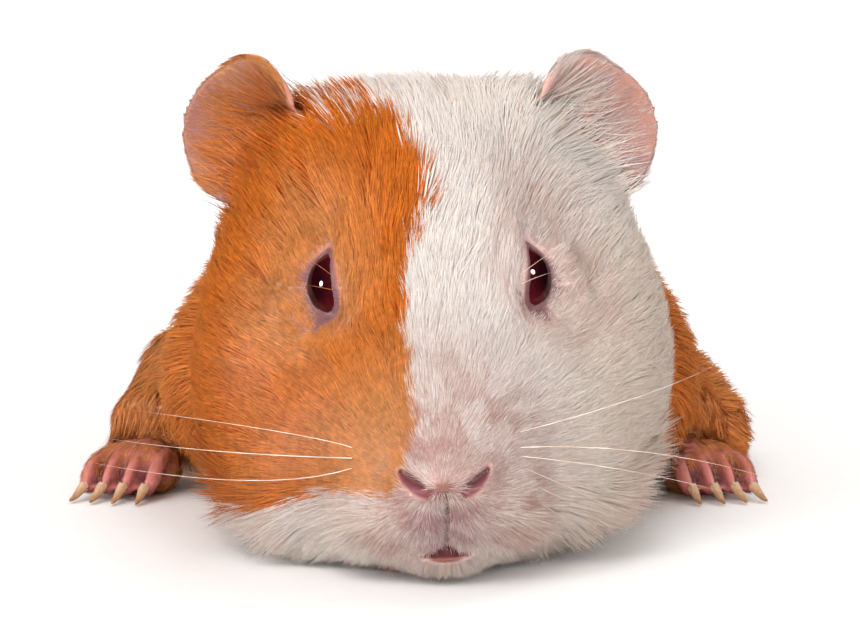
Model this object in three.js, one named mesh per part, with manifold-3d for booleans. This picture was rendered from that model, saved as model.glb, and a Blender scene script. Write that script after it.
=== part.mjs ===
// A life-size smooth-coated guinea pig lying flat with its chin low and its forepaws spread.
// Millimetres, +Z up, the nose towards -Y, the animal's left towards +X. The origin lies on the
// floor under the belly. Every outline includes the coat.
//
// The body is a set of named masses (ellipsoids) whose surfaces blend into one smooth skin.
// A three.js sphere or capsule is then wrapped onto that skin by casting a ray for each vertex,
// and manifold-3d parts the wrapped solid into head, neck, chest, torso, rump and legs.
import * as THREE from "three";
import { mergeVertices } from "three/addons/utils/BufferGeometryUtils.js";
import Module from "manifold-3d";

const wasm = await Module();
wasm.setup();

// ---- Driving dimensions ---------------------------------------------------------------------

const GAP = 0.3; // between touching nodes
const PARTINGS = { nape: -64, shoulder: -50, ribs: -12, loin: 34 }; // y of the cuts across the body
const HEAD_YAW = 3; // degrees, nose towards +X
const HEAD_ROLL = 1.8; // degrees, the left side raised
const HEAD_PIVOT = new THREE.Vector3(0, -97, 38); // between the eyes
const BLEND = { head: 8, face: 2.6, trunk: 10, neck: 10 }; // how widely the masses melt together

const EYE = {
  centre: [11.2, -95.2, 37.2],
  radius: 5,
  azimuth: 64, // degrees from straight ahead
  lift: 8, // degrees upward
  opening: { across: 0.93, up: 0.88, height: 0.46, flare: 1.06, depth: 5 }, // of the ball's radius
  lid: 0.6, // half the thickness of a lid's rim
};
const EAR = {
  centre: { left: [23.2, -73.5, 56.6], right: [22.6, -73.5, 57.5] }, // middle of the petal
  across: 12.5, // from the middle to the outer rim
  along: 12.0, // from the middle to the top
  cup: 5.0, // how far the rim stands forward of the middle
  cupMiddle: 0.6, // the share of the cup that lies behind the centre
  thick: 1.5,
  sweep: { left: 30, right: 40 }, // degrees that the outer rim lies back
  inner: 0.72, // the inner half's breadth as a share of the outer half's
  lean: 12, // degrees that the top leans out
};
// Openings of the face as [x, z] on the left side of the straight head, with a radius at each.
const NOSTRIL = { line: [[2.3, 13.2], [4.1, 13.9], [5.7, 15.0]], radii: [0.35, 0.8, 0.45], sunk: 0.1 };
const CLEFT = { line: [[0, 12.2], [0, 9.6], [0, 7]], radii: [0.35, 0.5, 0.5], sunk: 0.05 };
const MOUTH = { line: [[0, 6], [2.4, 5.1], [4.6, 4.7]], radii: [0.95, 0.75, 0.4], sunk: 0.2 };

// A paw's place is its palm; shift moves the pair sideways, spread is the angle between toes.
// Toes lose length away from the middle one (shorter) and gain it towards the inner one (longer).
const FOREPAW = {
  x: 45.1,
  y: -38,
  shift: -1.8,
  turnOut: 18,
  spread: 4,
  toes: 4,
  toeLength: 8,
  shorter: 0.02,
  longer: 0.1,
  toeRadius: 1.9,
  arch: 3.9,
  knuckle: 3.7,
  clawLength: 5.6,
  palm: [7, 6, 4.6],
};
const HINDPAW = {
  x: 44,
  y: 30,
  shift: 0,
  turnOut: 12,
  spread: 13,
  toes: 3,
  toeLength: 10,
  shorter: 0.07,
  longer: 0,
  toeRadius: 2.4,
  arch: 2.2,
  knuckle: 1.6,
  clawLength: 6,
  palm: [7.4, 7, 5.4],
};
const CLAW_RADIUS = 1;

// ---- Masses: [name, centre, radii, pitch in degrees about X, the only side it stands on] ------

const HEAD_MASSES = [
  ["cranium", [0, -75, 43.2], [21.5, 22, 22], 20],
  ["ear root", [13.5, -72, 52], [8.5, 11, 12], 0],
  ["forehead", [0, -84, 43], [14, 13.5, 13.5], 40],
  ["bridge", [0, -98.5, 30.5], [10.5, 18, 8], 53],
  ["orbit", [7.6, -92, 37.6], [4.7, 7, 7.8], 20],
  ["cheek", [18, -80, 24], [15.5, 18, 19.5], 10],
  ["left cheek", [19.6, -73, 28], [15, 14, 18], 0, 1],
  ["temple", [16.5, -73, 38], [12.8, 14, 12.5], 0],
  ["face side", [10, -96, 20], [10.5, 11, 11], 0],
  ["jowl", [12, -92, 11.5], [14.5, 13, 10.5], 0],
  ["snout", [0, -105.5, 20.5], [9, 11.5, 7.5], 45],
  ["muzzle", [0, -104, 13.5], [12, 12, 8.5], 8],
  ["chin", [0, -102, 6.2], [9.5, 9, 4.3], 0],
];
const FACE_MASSES = [
  ["whisker pad", [6.4, -109, 10], [5.8, 6.2, 6], 0],
  ["nose", [0, -116.6, 14.4], [4.4, 4.4, 3.3], 0],
  ["nostril wing", [3.9, -115.6, 13.5], [2.5, 3.6, 2.4], 0],
  ["upper lip", [2.8, -113.4, 8.8], [3.4, 4, 3.3], 0],
  ["lower lip", [0, -111.6, 3.9], [4.2, 3.9, 2.1], 0],
];
const TRUNK_MASSES = [
  ["nape", [-2.5, -56, 37.5], [27, 24, 24], 10],
  ["throat", [0, -66, 19], [32, 20, 17], 0],
  ["withers", [-2.5, -30, 31], [31.5, 32, 32], 0],
  ["breast", [0, -40, 16], [38, 28, 17], 0],
  ["shoulder", [25, -38, 19], [18, 20, 18.5], 0],
  ["elbow", [38, -8, 10.5], [12, 15, 12], 0],
  ["left elbow", [44.5, -8, 6.5], [12.5, 14, 9.5], 0, 1],
  ["barrel", [0, 10, 27], [39, 54, 38.5], 0],
  ["belly", [0, 12, 13], [46, 62, 16.5], 0],
  ["rump", [0, 56, 28], [38, 42, 38.5], 0],
  ["haunch", [29, 54, 18], [18.5, 30, 20], 0],
];
const TAIL_END = 56; // y of the last point on the trunk's axis
const TRUNK_AXIS_Z = 26;
const HEAD_CORE = new THREE.Vector3(0, -86, 27);

// ---- The blended skin -------------------------------------------------------------------------

const radians = THREE.MathUtils.degToRad;

// The head is modelled straight, then turned about the point between the eyes.
const headTurn = new THREE.Matrix4()
  .makeTranslation(HEAD_PIVOT.x, HEAD_PIVOT.y, HEAD_PIVOT.z)
  .multiply(new THREE.Matrix4().makeRotationZ(radians(HEAD_YAW)))
  .multiply(new THREE.Matrix4().makeRotationY(radians(-HEAD_ROLL)))
  .multiply(new THREE.Matrix4().makeTranslation(-HEAD_PIVOT.x, -HEAD_PIVOT.y, -HEAD_PIVOT.z));

// Masses off the middle plane stand on both sides of the body unless they name one side.
function bothSides(rows, turn) {
  return rows.flatMap(([, [x, y, z], radii, pitch, only]) =>
    (only ? [only] : x ? [1, -1] : [1]).map((side) => ({
      radii,
      toOwn: new THREE.Matrix4()
        .copy(turn)
        .multiply(new THREE.Matrix4().makeTranslation(side * x, y, z))
        .multiply(new THREE.Matrix4().makeRotationX(radians(pitch)))
        .invert(),
    })),
  );
}

// Distance from an ellipsoid's surface, close enough near the surface.
const own = new THREE.Vector3();
function toMass(mass, point) {
  own.copy(point).applyMatrix4(mass.toOwn);
  const [a, b, c] = mass.radii;
  const inUnits = Math.hypot(own.x / a, own.y / b, own.z / c);
  const slope = Math.hypot(own.x / a ** 2, own.y / b ** 2, own.z / c ** 2);
  return slope < 1e-9 ? -Math.min(a, b, c) : (inUnits * (inUnits - 1)) / slope;
}

function melt(d1, d2, width) {
  const near = Math.max(width - Math.abs(d1 - d2), 0) / width;
  return Math.min(d1, d2) - (near * near * width) / 4;
}

const headMasses = bothSides(HEAD_MASSES, headTurn);
const faceMasses = bothSides(FACE_MASSES, headTurn);
const trunkMasses = bothSides(TRUNK_MASSES, new THREE.Matrix4());
const FAR_AWAY = 1e3;
const toMasses = (masses, point, width, start = FAR_AWAY) =>
  masses.reduce((found, mass) => melt(found, toMass(mass, point), width), start);

// Signed distance from the whole skin, cut flat at the floor.
function toSkin(point) {
  const y = point.y;
  let skin = y < PARTINGS.shoulder + 20 ? toMasses(headMasses, point, BLEND.head) : FAR_AWAY;
  if (y > PARTINGS.nape - 40)
    skin = melt(skin, toMasses(trunkMasses, point, BLEND.trunk), BLEND.neck);
  if (y < EYE.centre[1]) skin = toMasses(faceMasses, point, BLEND.face, skin);
  return Math.max(skin, -point.z);
}

// The place where a ray from inside reaches the level: cautious steps out, then false position.
const CAUTION = 0.75;
const SHORTEST_STEP = 0.3;
const CLOSE_ENOUGH = 1e-7;
function alongRay(from, way, level, distance) {
  const point = new THREE.Vector3();
  const at = (t) => distance(point.copy(from).addScaledVector(way, t)) - level;
  let [near, far] = [0, 0];
  let [inner, outer] = [at(0), -1];
  while (outer < 0) {
    far = near + Math.max(-CAUTION * inner, SHORTEST_STEP);
    outer = at(far);
    if (outer < 0) [near, inner] = [far, outer];
  }
  let t = far;
  for (let i = 0; i < 30 && far - near > CLOSE_ENOUGH; i++) {
    t = (near * outer - far * inner) / (outer - inner);
    const found = at(t);
    if (Math.abs(found) < CLOSE_ENOUGH) break;
    if (found < 0) {
      [near, inner] = [t, found];
      outer /= 2;
    } else {
      [far, outer] = [t, found];
      inner /= 2;
    }
  }
  return new THREE.Vector3().copy(from).addScaledVector(way, t);
}

// ---- Geometry helpers ---------------------------------------------------------------------------

// Moves every vertex of a geometry by a function of its place, and welds its seams.
function reshape(geometry, move) {
  const bare = geometry.clone();
  bare.deleteAttribute("normal");
  bare.deleteAttribute("uv");
  const welded = mergeVertices(bare, 1e-5);
  const places = welded.attributes.position;
  const point = new THREE.Vector3();
  for (let i = 0; i < places.count; i++) {
    const moved = move(point.fromBufferAttribute(places, i).clone());
    places.setXYZ(i, moved.x, moved.y, moved.z);
  }
  return mergeVertices(welded, 1e-4);
}

// A solid for joining and cutting. A reflected shape has its faces turned round again.
function solid(geometry) {
  const triVerts = new Uint32Array(geometry.index.array);
  const made = new wasm.Manifold(
    new wasm.Mesh({ numProp: 3, vertProperties: geometry.attributes.position.array, triVerts }),
  );
  if (made.volume() > 0) return made;
  for (let i = 0; i < triVerts.length; i += 3)
    [triVerts[i + 1], triVerts[i + 2]] = [triVerts[i + 2], triVerts[i + 1]];
  return new wasm.Manifold(
    new wasm.Mesh({ numProp: 3, vertProperties: geometry.attributes.position.array, triVerts }),
  );
}

// Only the largest closed surface of a cut solid is kept.
function largest(cut) {
  return cut.decompose().reduce((best, piece) => (piece.volume() > best.volume() ? piece : best));
}

const joined = (solids) => solids.reduce((all, one) => all.add(one));

const ball = (at, radii, pitch = 0, turn = new THREE.Matrix4(), finish = [14, 10]) =>
  solid(
    reshape(new THREE.SphereGeometry(1, ...finish), (p) =>
      p
        .multiply(new THREE.Vector3(...radii))
        .applyAxisAngle(new THREE.Vector3(1, 0, 0), radians(pitch))
        .add(new THREE.Vector3(...at))
        .applyMatrix4(turn),
    ),
  );

// Everything with y between two values, and above the floor.
const REACH = 400;
function slab(fromY, toY) {
  const box = new THREE.BoxGeometry(REACH, toY - fromY, REACH);
  return solid(reshape(box, (p) => p.add(new THREE.Vector3(0, (fromY + toY) / 2, REACH / 2))));
}

// A round bar along a smooth line through points, with a radius at each, and round ends.
function bar(points, radii, sides = 10, steps = 10) {
  const line = new THREE.CatmullRomCurve3(points.map((p) => new THREE.Vector3(...p)));
  const shape = new THREE.CylinderGeometry(1, 1, 1, sides, steps);
  const frames = line.computeFrenetFrames(steps);
  return solid(
    reshape(shape, (p) => {
      const t = THREE.MathUtils.clamp(p.y + 0.5, 0, 1);
      const ring = Math.round(t * steps);
      const place = t * (radii.length - 1);
      const low = Math.min(Math.floor(place), radii.length - 2);
      const radius = THREE.MathUtils.lerp(radii[low], radii[low + 1], place - low);
      return line
        .getPoint(t)
        .addScaledVector(frames.normals[ring], p.x * radius)
        .addScaledVector(frames.binormals[ring], p.z * radius);
    }),
  );
}

// ---- Wrapped solids -----------------------------------------------------------------------------

// The head: a ball whose pole looks out of the muzzle, with finer rings round that pole.
const MUZZLE_WAY = new THREE.Vector3(0, -0.93, -0.37).normalize();
const HEAD_RINGS = 41;
const HEAD_SECTORS = 40;
const POLE_FINENESS = 1.6;
function headSolid(level = 0) {
  const core = HEAD_CORE.clone().applyMatrix4(headTurn);
  const upright = new THREE.Quaternion().setFromUnitVectors(
    new THREE.Vector3(0, 1, 0),
    MUZZLE_WAY.clone().transformDirection(headTurn),
  );
  const reach = (p) => Math.max(toSkin(p), p.y - (PARTINGS.nape + 12));
  return solid(
    reshape(new THREE.SphereGeometry(1, HEAD_SECTORS, HEAD_RINGS), (p) => {
      const polar = Math.acos(THREE.MathUtils.clamp(p.y, -1, 1));
      const finer = Math.PI * (polar / Math.PI) ** POLE_FINENESS;
      const ring = Math.hypot(p.x, p.z);
      const spread = ring > 1e-9 ? Math.sin(finer) / ring : 0;
      const way = new THREE.Vector3(p.x * spread, Math.cos(finer), p.z * spread);
      return alongRay(core, way.applyQuaternion(upright), level, reach);
    }),
  );
}

// The trunk: a capsule whose axis runs from the neck to the rump, with finer sectors at the flanks.
const TRUNK_SECTORS = 32;
const TRUNK_RINGS = 21;
const CAP_RINGS = 8;
const FLANK_FINENESS = 0.7;
function trunkSolid(level = 0) {
  const front = PARTINGS.nape - 12;
  const length = TAIL_END - front;
  const shape = new THREE.CapsuleGeometry(1, length, CAP_RINGS, TRUNK_SECTORS, TRUNK_RINGS);
  const reach = (p) => Math.max(toSkin(p), front - 6 - p.y);
  return solid(
    reshape(shape, (p) => {
      const along = THREE.MathUtils.clamp(p.y, -length / 2, length / 2);
      const from = new THREE.Vector3(0, front + length / 2 + along, TRUNK_AXIS_Z);
      const way = new THREE.Vector3(p.x, p.y - along, -p.z * FLANK_FINENESS).normalize();
      return alongRay(from, way, level, reach);
    }),
  );
}

// ---- Head -------------------------------------------------------------------------------------------

// Turns a point given straight ahead of +Z to face out of an eye.
function eyeMatrix(side) {
  const azimuth = radians(EYE.azimuth);
  const lift = radians(EYE.lift);
  const out = new THREE.Vector3(
    side * Math.sin(azimuth) * Math.cos(lift),
    -Math.cos(azimuth) * Math.cos(lift),
    Math.sin(lift),
  );
  const facing = new THREE.Matrix4().lookAt(out, new THREE.Vector3(), new THREE.Vector3(0, 0, 1));
  const [x, y, z] = EYE.centre;
  return new THREE.Matrix4().copy(headTurn).multiply(facing.setPosition(side * x, y, z));
}

const eyeball = (side, grow = 0) =>
  solid(
    reshape(new THREE.SphereGeometry(EYE.radius + grow, 18, 12), (p) =>
      p.applyMatrix4(eyeMatrix(side)),
    ),
  );

// The lids: a rim that hugs the ball, a little pointed at its front and back corners.
const CORNER_SHARPNESS = 4;
function almond(around) {
  const { across, up } = EYE.opening;
  return EYE.radius * (up + (across - up) * Math.cos(around) ** CORNER_SHARPNESS);
}
const lids = (side) =>
  solid(
    reshape(new THREE.TorusGeometry(1, EYE.lid / EYE.radius, 8, 24), (p) => {
      const size = almond(Math.atan2(p.y, p.x));
      const height = (p.z + EYE.opening.height) * EYE.radius;
      return new THREE.Vector3(p.x * size, p.y * size, height).applyMatrix4(eyeMatrix(side));
    }),
  );

// The flared hole through the skin in front of the ball.
const eyeOpening = (side) =>
  solid(
    reshape(new THREE.CylinderGeometry(EYE.opening.flare, 1, 1, 24), (p) => {
      const size = almond(Math.atan2(p.z, p.x));
      const height = EYE.radius * EYE.opening.height + (p.y + 0.5) * EYE.opening.depth;
      return new THREE.Vector3(p.x * size, p.z * size, height).applyMatrix4(eyeMatrix(side));
    }),
  );

// The skin's place in front of [x, z] on the straight head, sunk by a little.
const SIGHT_FROM = -98; // y behind the whole front of the muzzle
const AHEAD = new THREE.Vector3(0, -1, 0).transformDirection(headTurn);
const onFace = ([x, z], sunk) =>
  alongRay(new THREE.Vector3(x, SIGHT_FROM, z).applyMatrix4(headTurn), AHEAD, -sunk, toSkin);

const groove = ({ line, radii, sunk }, side, steps = 6) =>
  bar(
    line.map(([x, z]) => onFace([side * x, z], sunk).toArray()),
    radii,
    8,
    steps,
  );

// Nostrils, the cleft from the nose to the mouth, and the line of the mouth.
function faceCuts() {
  const mirrored = MOUTH.line.slice(1).map(([x, z]) => [-x, z]);
  const wholeMouth = {
    ...MOUTH,
    line: [...mirrored.reverse(), ...MOUTH.line],
    radii: [...MOUTH.radii.slice(1).reverse(), ...MOUTH.radii],
  };
  return joined([
    groove(NOSTRIL, 1),
    groove(NOSTRIL, -1),
    groove(CLEFT, 1),
    groove(wholeMouth, 1, 10),
  ]);
}

function makeHead() {
  const skull = headSolid().intersect(slab(-REACH / 2, PARTINGS.nape - GAP / 2));
  const opened = skull.subtract(eyeOpening(1)).subtract(eyeOpening(-1));
  const dressed = joined([opened, lids(1), lids(-1)]);
  const sockets = eyeball(1, GAP).add(eyeball(-1, GAP));
  return largest(dressed.subtract(sockets).subtract(faceCuts()));
}

// An ear: a flattened ball bent into a petal-shaped cup, rooted in the head.
const PETAL = [
  { lobes: 2, size: 0.05, phase: 0.6 },
  { lobes: 3, size: 0.04, phase: -0.9 },
];
const RIM = { bluntness: 0.35, cupPower: 2.2, rollFrom: 0.8, roll: 3.6 };
function makeEar(side, headShell) {
  const hand = side > 0 ? "left" : "right";
  const [x, y, z] = EAR.centre[hand];
  const turn = new THREE.Matrix4()
    .copy(headTurn)
    .multiply(new THREE.Matrix4().makeScale(side, 1, 1))
    .multiply(new THREE.Matrix4().makeTranslation(x, y, z))
    .multiply(new THREE.Matrix4().makeRotationY(radians(EAR.lean)))
    .multiply(new THREE.Matrix4().makeRotationZ(radians(EAR.sweep[hand])));
  const petal = reshape(new THREE.SphereGeometry(1, 26, 12), (p) => {
    const out = Math.min(Math.hypot(p.x, p.z), 1);
    const around = Math.atan2(p.z, p.x);
    const edge = PETAL.reduce(
      (sum, { lobes, size, phase }) => sum + size * Math.cos(lobes * around + phase),
      1,
    );
    const half = (Math.sign(p.y) * Math.abs(p.y) ** RIM.bluntness * EAR.thick) / 2;
    const cup = EAR.cup * (out ** RIM.cupPower - EAR.cupMiddle);
    const roll = RIM.roll * Math.max(0, out - RIM.rollFrom);
    return new THREE.Vector3(
      p.x * edge * EAR.across * (p.x < 0 ? EAR.inner : 1),
      half - cup + roll,
      p.z * edge * EAR.along,
    ).applyMatrix4(turn);
  });
  return largest(solid(petal).subtract(headShell));
}

// ---- Legs -------------------------------------------------------------------------------------------

// The outer side of the shoulder or haunch that a leg takes out of the trunk.
const UPPER_LEGS = {
  foreleg: { centre: [43, -10, 15], radii: [16, 20, 22] },
  hindleg: { centre: [41, 46, 14], radii: [15, 30, 26] },
};
const legRegion = ({ centre: [x, y, z], radii }, side, grow) =>
  ball(
    [side * x, y, z],
    radii.map((r) => r + grow),
    0,
    new THREE.Matrix4(),
    [20, 14],
  );

// Toes fanned forward from a paw's palm. The outer ones are a little thinner.
const THINNER = 0.06;
const TOE_PITCH = 1.55; // between neighbouring toes' roots, in toe radii
function pawPlan(paw, side) {
  const middle = (paw.toes - 1) / 2;
  return Array.from({ length: paw.toes }, (_, i) => {
    const fan = i - middle; // from the inner toe to the outer one
    const angle = radians(side * (paw.turnOut + fan * paw.spread));
    const rootX = side * (paw.x + fan * paw.toeRadius * TOE_PITCH) + paw.shift;
    return {
      at: (reach, z) => [rootX + Math.sin(angle) * reach, paw.y - Math.cos(angle) * reach, z],
      length: paw.toeLength * (1 - paw.shorter * fan ** 2 - paw.longer * fan),
      radius: paw.toeRadius * (1 - THINNER * Math.abs(fan)),
      arch: paw.arch,
      knuckle: paw.knuckle,
      clawLength: paw.clawLength,
    };
  });
}

// Stations along a toe or claw: the share of its length, the height above the floor, the radius.
const TOE = { sides: 8, steps: 5, bend: 0.3, pad: 0.3, tip: 0.3 };
const toe = ({ at, length, radius, arch, knuckle }, grow = 0) =>
  bar(
    [
      at(-1, radius + arch),
      at(length * 0.4, radius + knuckle),
      at(length * 0.8, radius + TOE.pad + knuckle * TOE.bend),
      at(length, radius - TOE.tip),
    ],
    [radius * 0.9, radius * 0.98, radius, radius * 0.55].map((r) => r + grow),
    TOE.sides,
    TOE.steps,
  );

const CLAW = { sides: 6, steps: 5, sunk: 1.6, rise: 0.9, bend: 0.5, tipHeight: 0.5, tipRadius: 0.22 };
const claw = ({ at, length, radius, clawLength }) =>
  bar(
    [
      at(length - CLAW.sunk, radius + CLAW.rise),
      at(length - CLAW.sunk + clawLength * 0.45, radius + CLAW.bend),
      at(length - CLAW.sunk + clawLength * 0.85, radius * 0.55),
      at(length - CLAW.sunk + clawLength * 1.15, CLAW.tipHeight),
    ],
    [CLAW_RADIUS, CLAW_RADIUS * 0.95, CLAW_RADIUS * 0.6, CLAW.tipRadius],
    CLAW.sides,
    CLAW.steps,
  );

const aboveFloor = (shape) => shape.intersect(slab(-REACH / 2, REACH / 2));
const makeClaw = (plan) => largest(aboveFloor(claw(plan).subtract(toe(plan, GAP))));

// A palm rounded like a low cushion that meets the floor.
const PALM_SUNK = 0.6;
const palm = ({ x, y, shift, palm: radii }, side) =>
  ball([side * x + shift, y + 1.5, radii[2] - PALM_SUNK], radii, 0, undefined, [14, 8]);

// The furred lower foreleg, from deep in the shoulder's coat to the wrist.
const FOREARM = {
  stations: [
    { inward: 8, back: 25, z: 17, radius: 10.5 },
    { inward: 4, back: 13, z: 12.2, radius: 7.9 },
    { inward: 0.5, back: 4.5, z: 8.4, radius: 7 },
  ],
  sides: 14,
  steps: 6,
};
function forearm(side, grow = 0) {
  const x = FOREPAW.x + side * FOREPAW.shift;
  const line = FOREARM.stations.map(({ inward, back, z }) => [
    side * (x - inward),
    FOREPAW.y + back,
    z,
  ]);
  line.at(-1)[1] -= grow;
  const radii = FOREARM.stations.map(({ radius }) => radius + grow);
  return bar(line, radii, FOREARM.sides, FOREARM.steps);
}

// The long hind sole, from the heel under the haunch to the toes.
const SOLE = {
  stations: [
    { inward: 9, back: 34, z: 4.6, radius: 5 },
    { inward: 5, back: 18, z: 4.4, radius: 5.6 },
    { inward: 0, back: 0, z: 4.2, radius: 5.8 },
  ],
  sides: 12,
  steps: 5,
};
const sole = (side) =>
  bar(
    SOLE.stations.map(({ inward, back, z }) => [side * (HINDPAW.x - inward), HINDPAW.y + back, z]),
    SOLE.stations.map(({ radius }) => radius),
    SOLE.sides,
    SOLE.steps,
  );

// ---- Assembly ---------------------------------------------------------------------------------------

const guineaPig = new THREE.Group();
const FINISHES = {
  orangeCoat: { color: 0xc9752b, roughness: 0.85, metalness: 0 },
  whiteCoat: { color: 0xe9e1da, roughness: 0.85, metalness: 0 },
  orangeEar: { color: 0xa5623c, roughness: 0.7, metalness: 0 },
  pinkEar: { color: 0xd79c8c, roughness: 0.7, metalness: 0 },
  bareSkin: { color: 0xb86b60, roughness: 0.6, metalness: 0 },
  eye: { color: 0x30080c, roughness: 0.08, metalness: 0 },
  horn: { color: 0xcaa57c, roughness: 0.45, metalness: 0 },
};

function place(name, shape, finish) {
  const mesh = shape.getMesh();
  const geometry = new THREE.BufferGeometry()
    .setAttribute("position", new THREE.BufferAttribute(new Float32Array(mesh.vertProperties), 3))
    .setIndex(new THREE.BufferAttribute(new Uint32Array(mesh.triVerts), 1));
  geometry.computeVertexNormals();
  const made = new THREE.Mesh(geometry, new THREE.MeshStandardMaterial(FINISHES[finish]));
  made.name = name;
  guineaPig.add(made);
}

const sides = { left: 1, right: -1 };
const headShell = headSolid(GAP);
const trunk = trunkSolid();
const bodyShell = trunkSolid(GAP).add(headShell);

place("head", makeHead(), "whiteCoat");
for (const [name, side] of Object.entries(sides)) {
  place(`ear_${name}`, makeEar(side, headShell), side > 0 ? "pinkEar" : "orangeEar");
  place(`eye_${name}`, eyeball(side), "eye");
}

// The trunk without the legs' regions, parted across at the named places.
const legRegions = (grow) =>
  joined(
    Object.values(UPPER_LEGS).flatMap((region) =>
      Object.values(sides).map((side) => legRegion(region, side, grow)),
    ),
  );
const core = trunk.subtract(legRegions(GAP));
const stations = [
  ["neck", PARTINGS.nape, PARTINGS.shoulder, "whiteCoat"],
  ["chest", PARTINGS.shoulder, PARTINGS.ribs, "orangeCoat"],
  ["torso", PARTINGS.ribs, PARTINGS.loin, "whiteCoat"],
  ["rump", PARTINGS.loin, REACH / 2, "orangeCoat"],
];
for (const [name, from, to, finish] of stations)
  place(name, largest(core.intersect(slab(from + GAP / 2, to - GAP / 2))), finish);

function placePaw(name, paw, side, cushion, taken) {
  const plan = pawPlan(paw, side);
  const whole = joined([cushion, palm(paw, side), ...plan.map((one) => toe(one))]);
  place(`${name}paw_${sideNames[side]}`, largest(aboveFloor(whole).subtract(taken)), "bareSkin");
  plan.forEach((one, i) => place(`${name}claw_${sideNames[side]}_${i + 1}`, makeClaw(one), "horn"));
}

const sideNames = { 1: "left", "-1": "right" };
for (const [name, side] of Object.entries(sides)) {
  for (const [leg, region] of Object.entries(UPPER_LEGS))
    place(`${leg}_upper_${name}`, largest(trunk.intersect(legRegion(region, side, 0))), "orangeCoat");
  const lower = aboveFloor(forearm(side).subtract(bodyShell));
  place(`foreleg_lower_${name}`, largest(lower), "orangeCoat");
  placePaw("fore", FOREPAW, side, palm(FOREPAW, side), forearm(side, GAP).add(bodyShell));
  placePaw("hind", HINDPAW, side, sole(side), bodyShell);
}

export default guineaPig;
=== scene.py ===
"""A life-size still model of a guinea pig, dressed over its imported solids.

One skin stands for the nodes of flesh and lies inside them by the depth of the coat. The coat is a mesh of
tapered locks, sown on the skin by Geometry Nodes and combed along it. Eyes, claws, whiskers and the studio
are pieces of their own. Sizes are in millimetres, in the frame of the solids: +Z is up, the animal looks
along -Y, its left side is at +X, and the floor is at z = 0.
"""

import logging
import math
from dataclasses import dataclass
from enum import Enum
from typing import ClassVar

import bmesh
import bpy
import numpy as np
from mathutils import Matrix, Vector
from mathutils.bvhtree import BVHTree


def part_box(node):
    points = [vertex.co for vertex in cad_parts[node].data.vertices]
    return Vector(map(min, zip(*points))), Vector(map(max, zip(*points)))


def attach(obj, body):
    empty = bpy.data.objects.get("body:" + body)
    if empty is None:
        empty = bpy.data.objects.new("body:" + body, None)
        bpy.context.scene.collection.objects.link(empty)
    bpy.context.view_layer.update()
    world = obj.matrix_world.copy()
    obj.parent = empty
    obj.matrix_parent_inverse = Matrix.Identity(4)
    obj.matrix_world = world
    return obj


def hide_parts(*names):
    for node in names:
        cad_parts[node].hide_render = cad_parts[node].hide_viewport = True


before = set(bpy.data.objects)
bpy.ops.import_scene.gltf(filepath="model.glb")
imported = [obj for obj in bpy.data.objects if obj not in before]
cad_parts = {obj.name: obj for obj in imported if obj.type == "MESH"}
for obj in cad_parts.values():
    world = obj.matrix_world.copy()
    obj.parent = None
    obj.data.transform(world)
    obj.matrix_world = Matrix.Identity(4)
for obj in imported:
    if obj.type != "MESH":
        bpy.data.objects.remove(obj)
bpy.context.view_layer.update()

MM = 0.001
BODY = "root"
FAR = 9.0  # stands for far out, where a reach has no meaning
NEAR_EYE = 20.0  # no rule of an eye goes further than this

Array = np.ndarray
Colour = tuple[float, float, float, float]
Place = tuple[float, float, float]
Socket = bpy.types.NodeSocket

log = logging.getLogger("guinea_pig")


# ---- Small tools ------------------------------------------------------------------------------------


def tone(code: str) -> Colour:
    """Turns a web colour, such as "#D9732A", into the linear colour that a shader takes."""
    shares = [int(code[start:start + 2], 16) / 255 for start in (1, 3, 5)]
    linear = [share / 12.92 if share <= 0.04045 else ((share + 0.055) / 1.055) ** 2.4 for share in shares]
    return (*linear, 1.0)


def ramp(values: Array, low: float, high: float) -> Array:
    """Rises smoothly from 0 at low to 1 at high."""
    share = np.clip((values - low) / (high - low), 0.0, 1.0)
    return share * share * (3 - 2 * share)


def bump(values: Array, middle: float, width: float) -> Array:
    """A smooth hill, 1 at its middle, that has faded out about two widths away."""
    return np.exp(-(((values - middle) / width) ** 2))


def unit(vectors: Array) -> Array:
    """Scales each row to length one."""
    return vectors / np.maximum(np.linalg.norm(vectors, axis=-1, keepdims=True), 1e-9)


def from_line(points: Array, line: object) -> tuple[Array, Array]:
    """Measures points of a plane from a bent line.

    Args:
        points: One row (across, up) for each point.
        line: The line's corners, in order.

    Returns:
        Each point's distance from the line, and how far along the line its nearest place is, 0 to 1.
    """
    corners = np.array(line, float)
    nearest = np.full(len(points), np.inf)
    share = np.zeros(len(points))
    steps = len(corners) - 1
    for step, (start, end) in enumerate(zip(corners[:-1], corners[1:])):
        way = end - start
        along = np.clip(((points - start) @ way) / (way @ way), 0, 1)
        away = np.linalg.norm(points - start - along[:, None] * way, axis=1)
        closer = away < nearest
        nearest = np.where(closer, away, nearest)
        share = np.where(closer, (step + along) / steps, share)
    return nearest, share


@dataclass(frozen=True)
class Waver:
    """Smooth noise from -1 to 1 whose hills are about one cell wide."""

    cell: float
    seed: int
    side: int = 32

    def __call__(self, points: Array) -> Array:
        """Gives the noise at each point."""
        lattice = np.random.default_rng(self.seed).uniform(-1, 1, (self.side,) * 3)
        grid = points / self.cell
        base = np.floor(grid).astype(int)
        part = grid - base
        part = part * part * (3 - 2 * part)
        total = np.zeros(len(points))
        for corner in np.ndindex(2, 2, 2):
            weight = np.prod(np.where(corner, part, 1 - part), axis=1)
            i, j, k = ((base + corner) % self.side).T
            total += weight * lattice[i, j, k]
        return total


def bearing(azimuth: float, height: float) -> Array:
    """The direction at two angles, in degrees: from straight ahead towards +X, and above the floor."""
    azimuth, height = math.radians(azimuth), math.radians(height)
    flat = math.cos(height)
    return np.array([math.sin(azimuth) * flat, -math.cos(azimuth) * flat, math.sin(height)])


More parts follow.
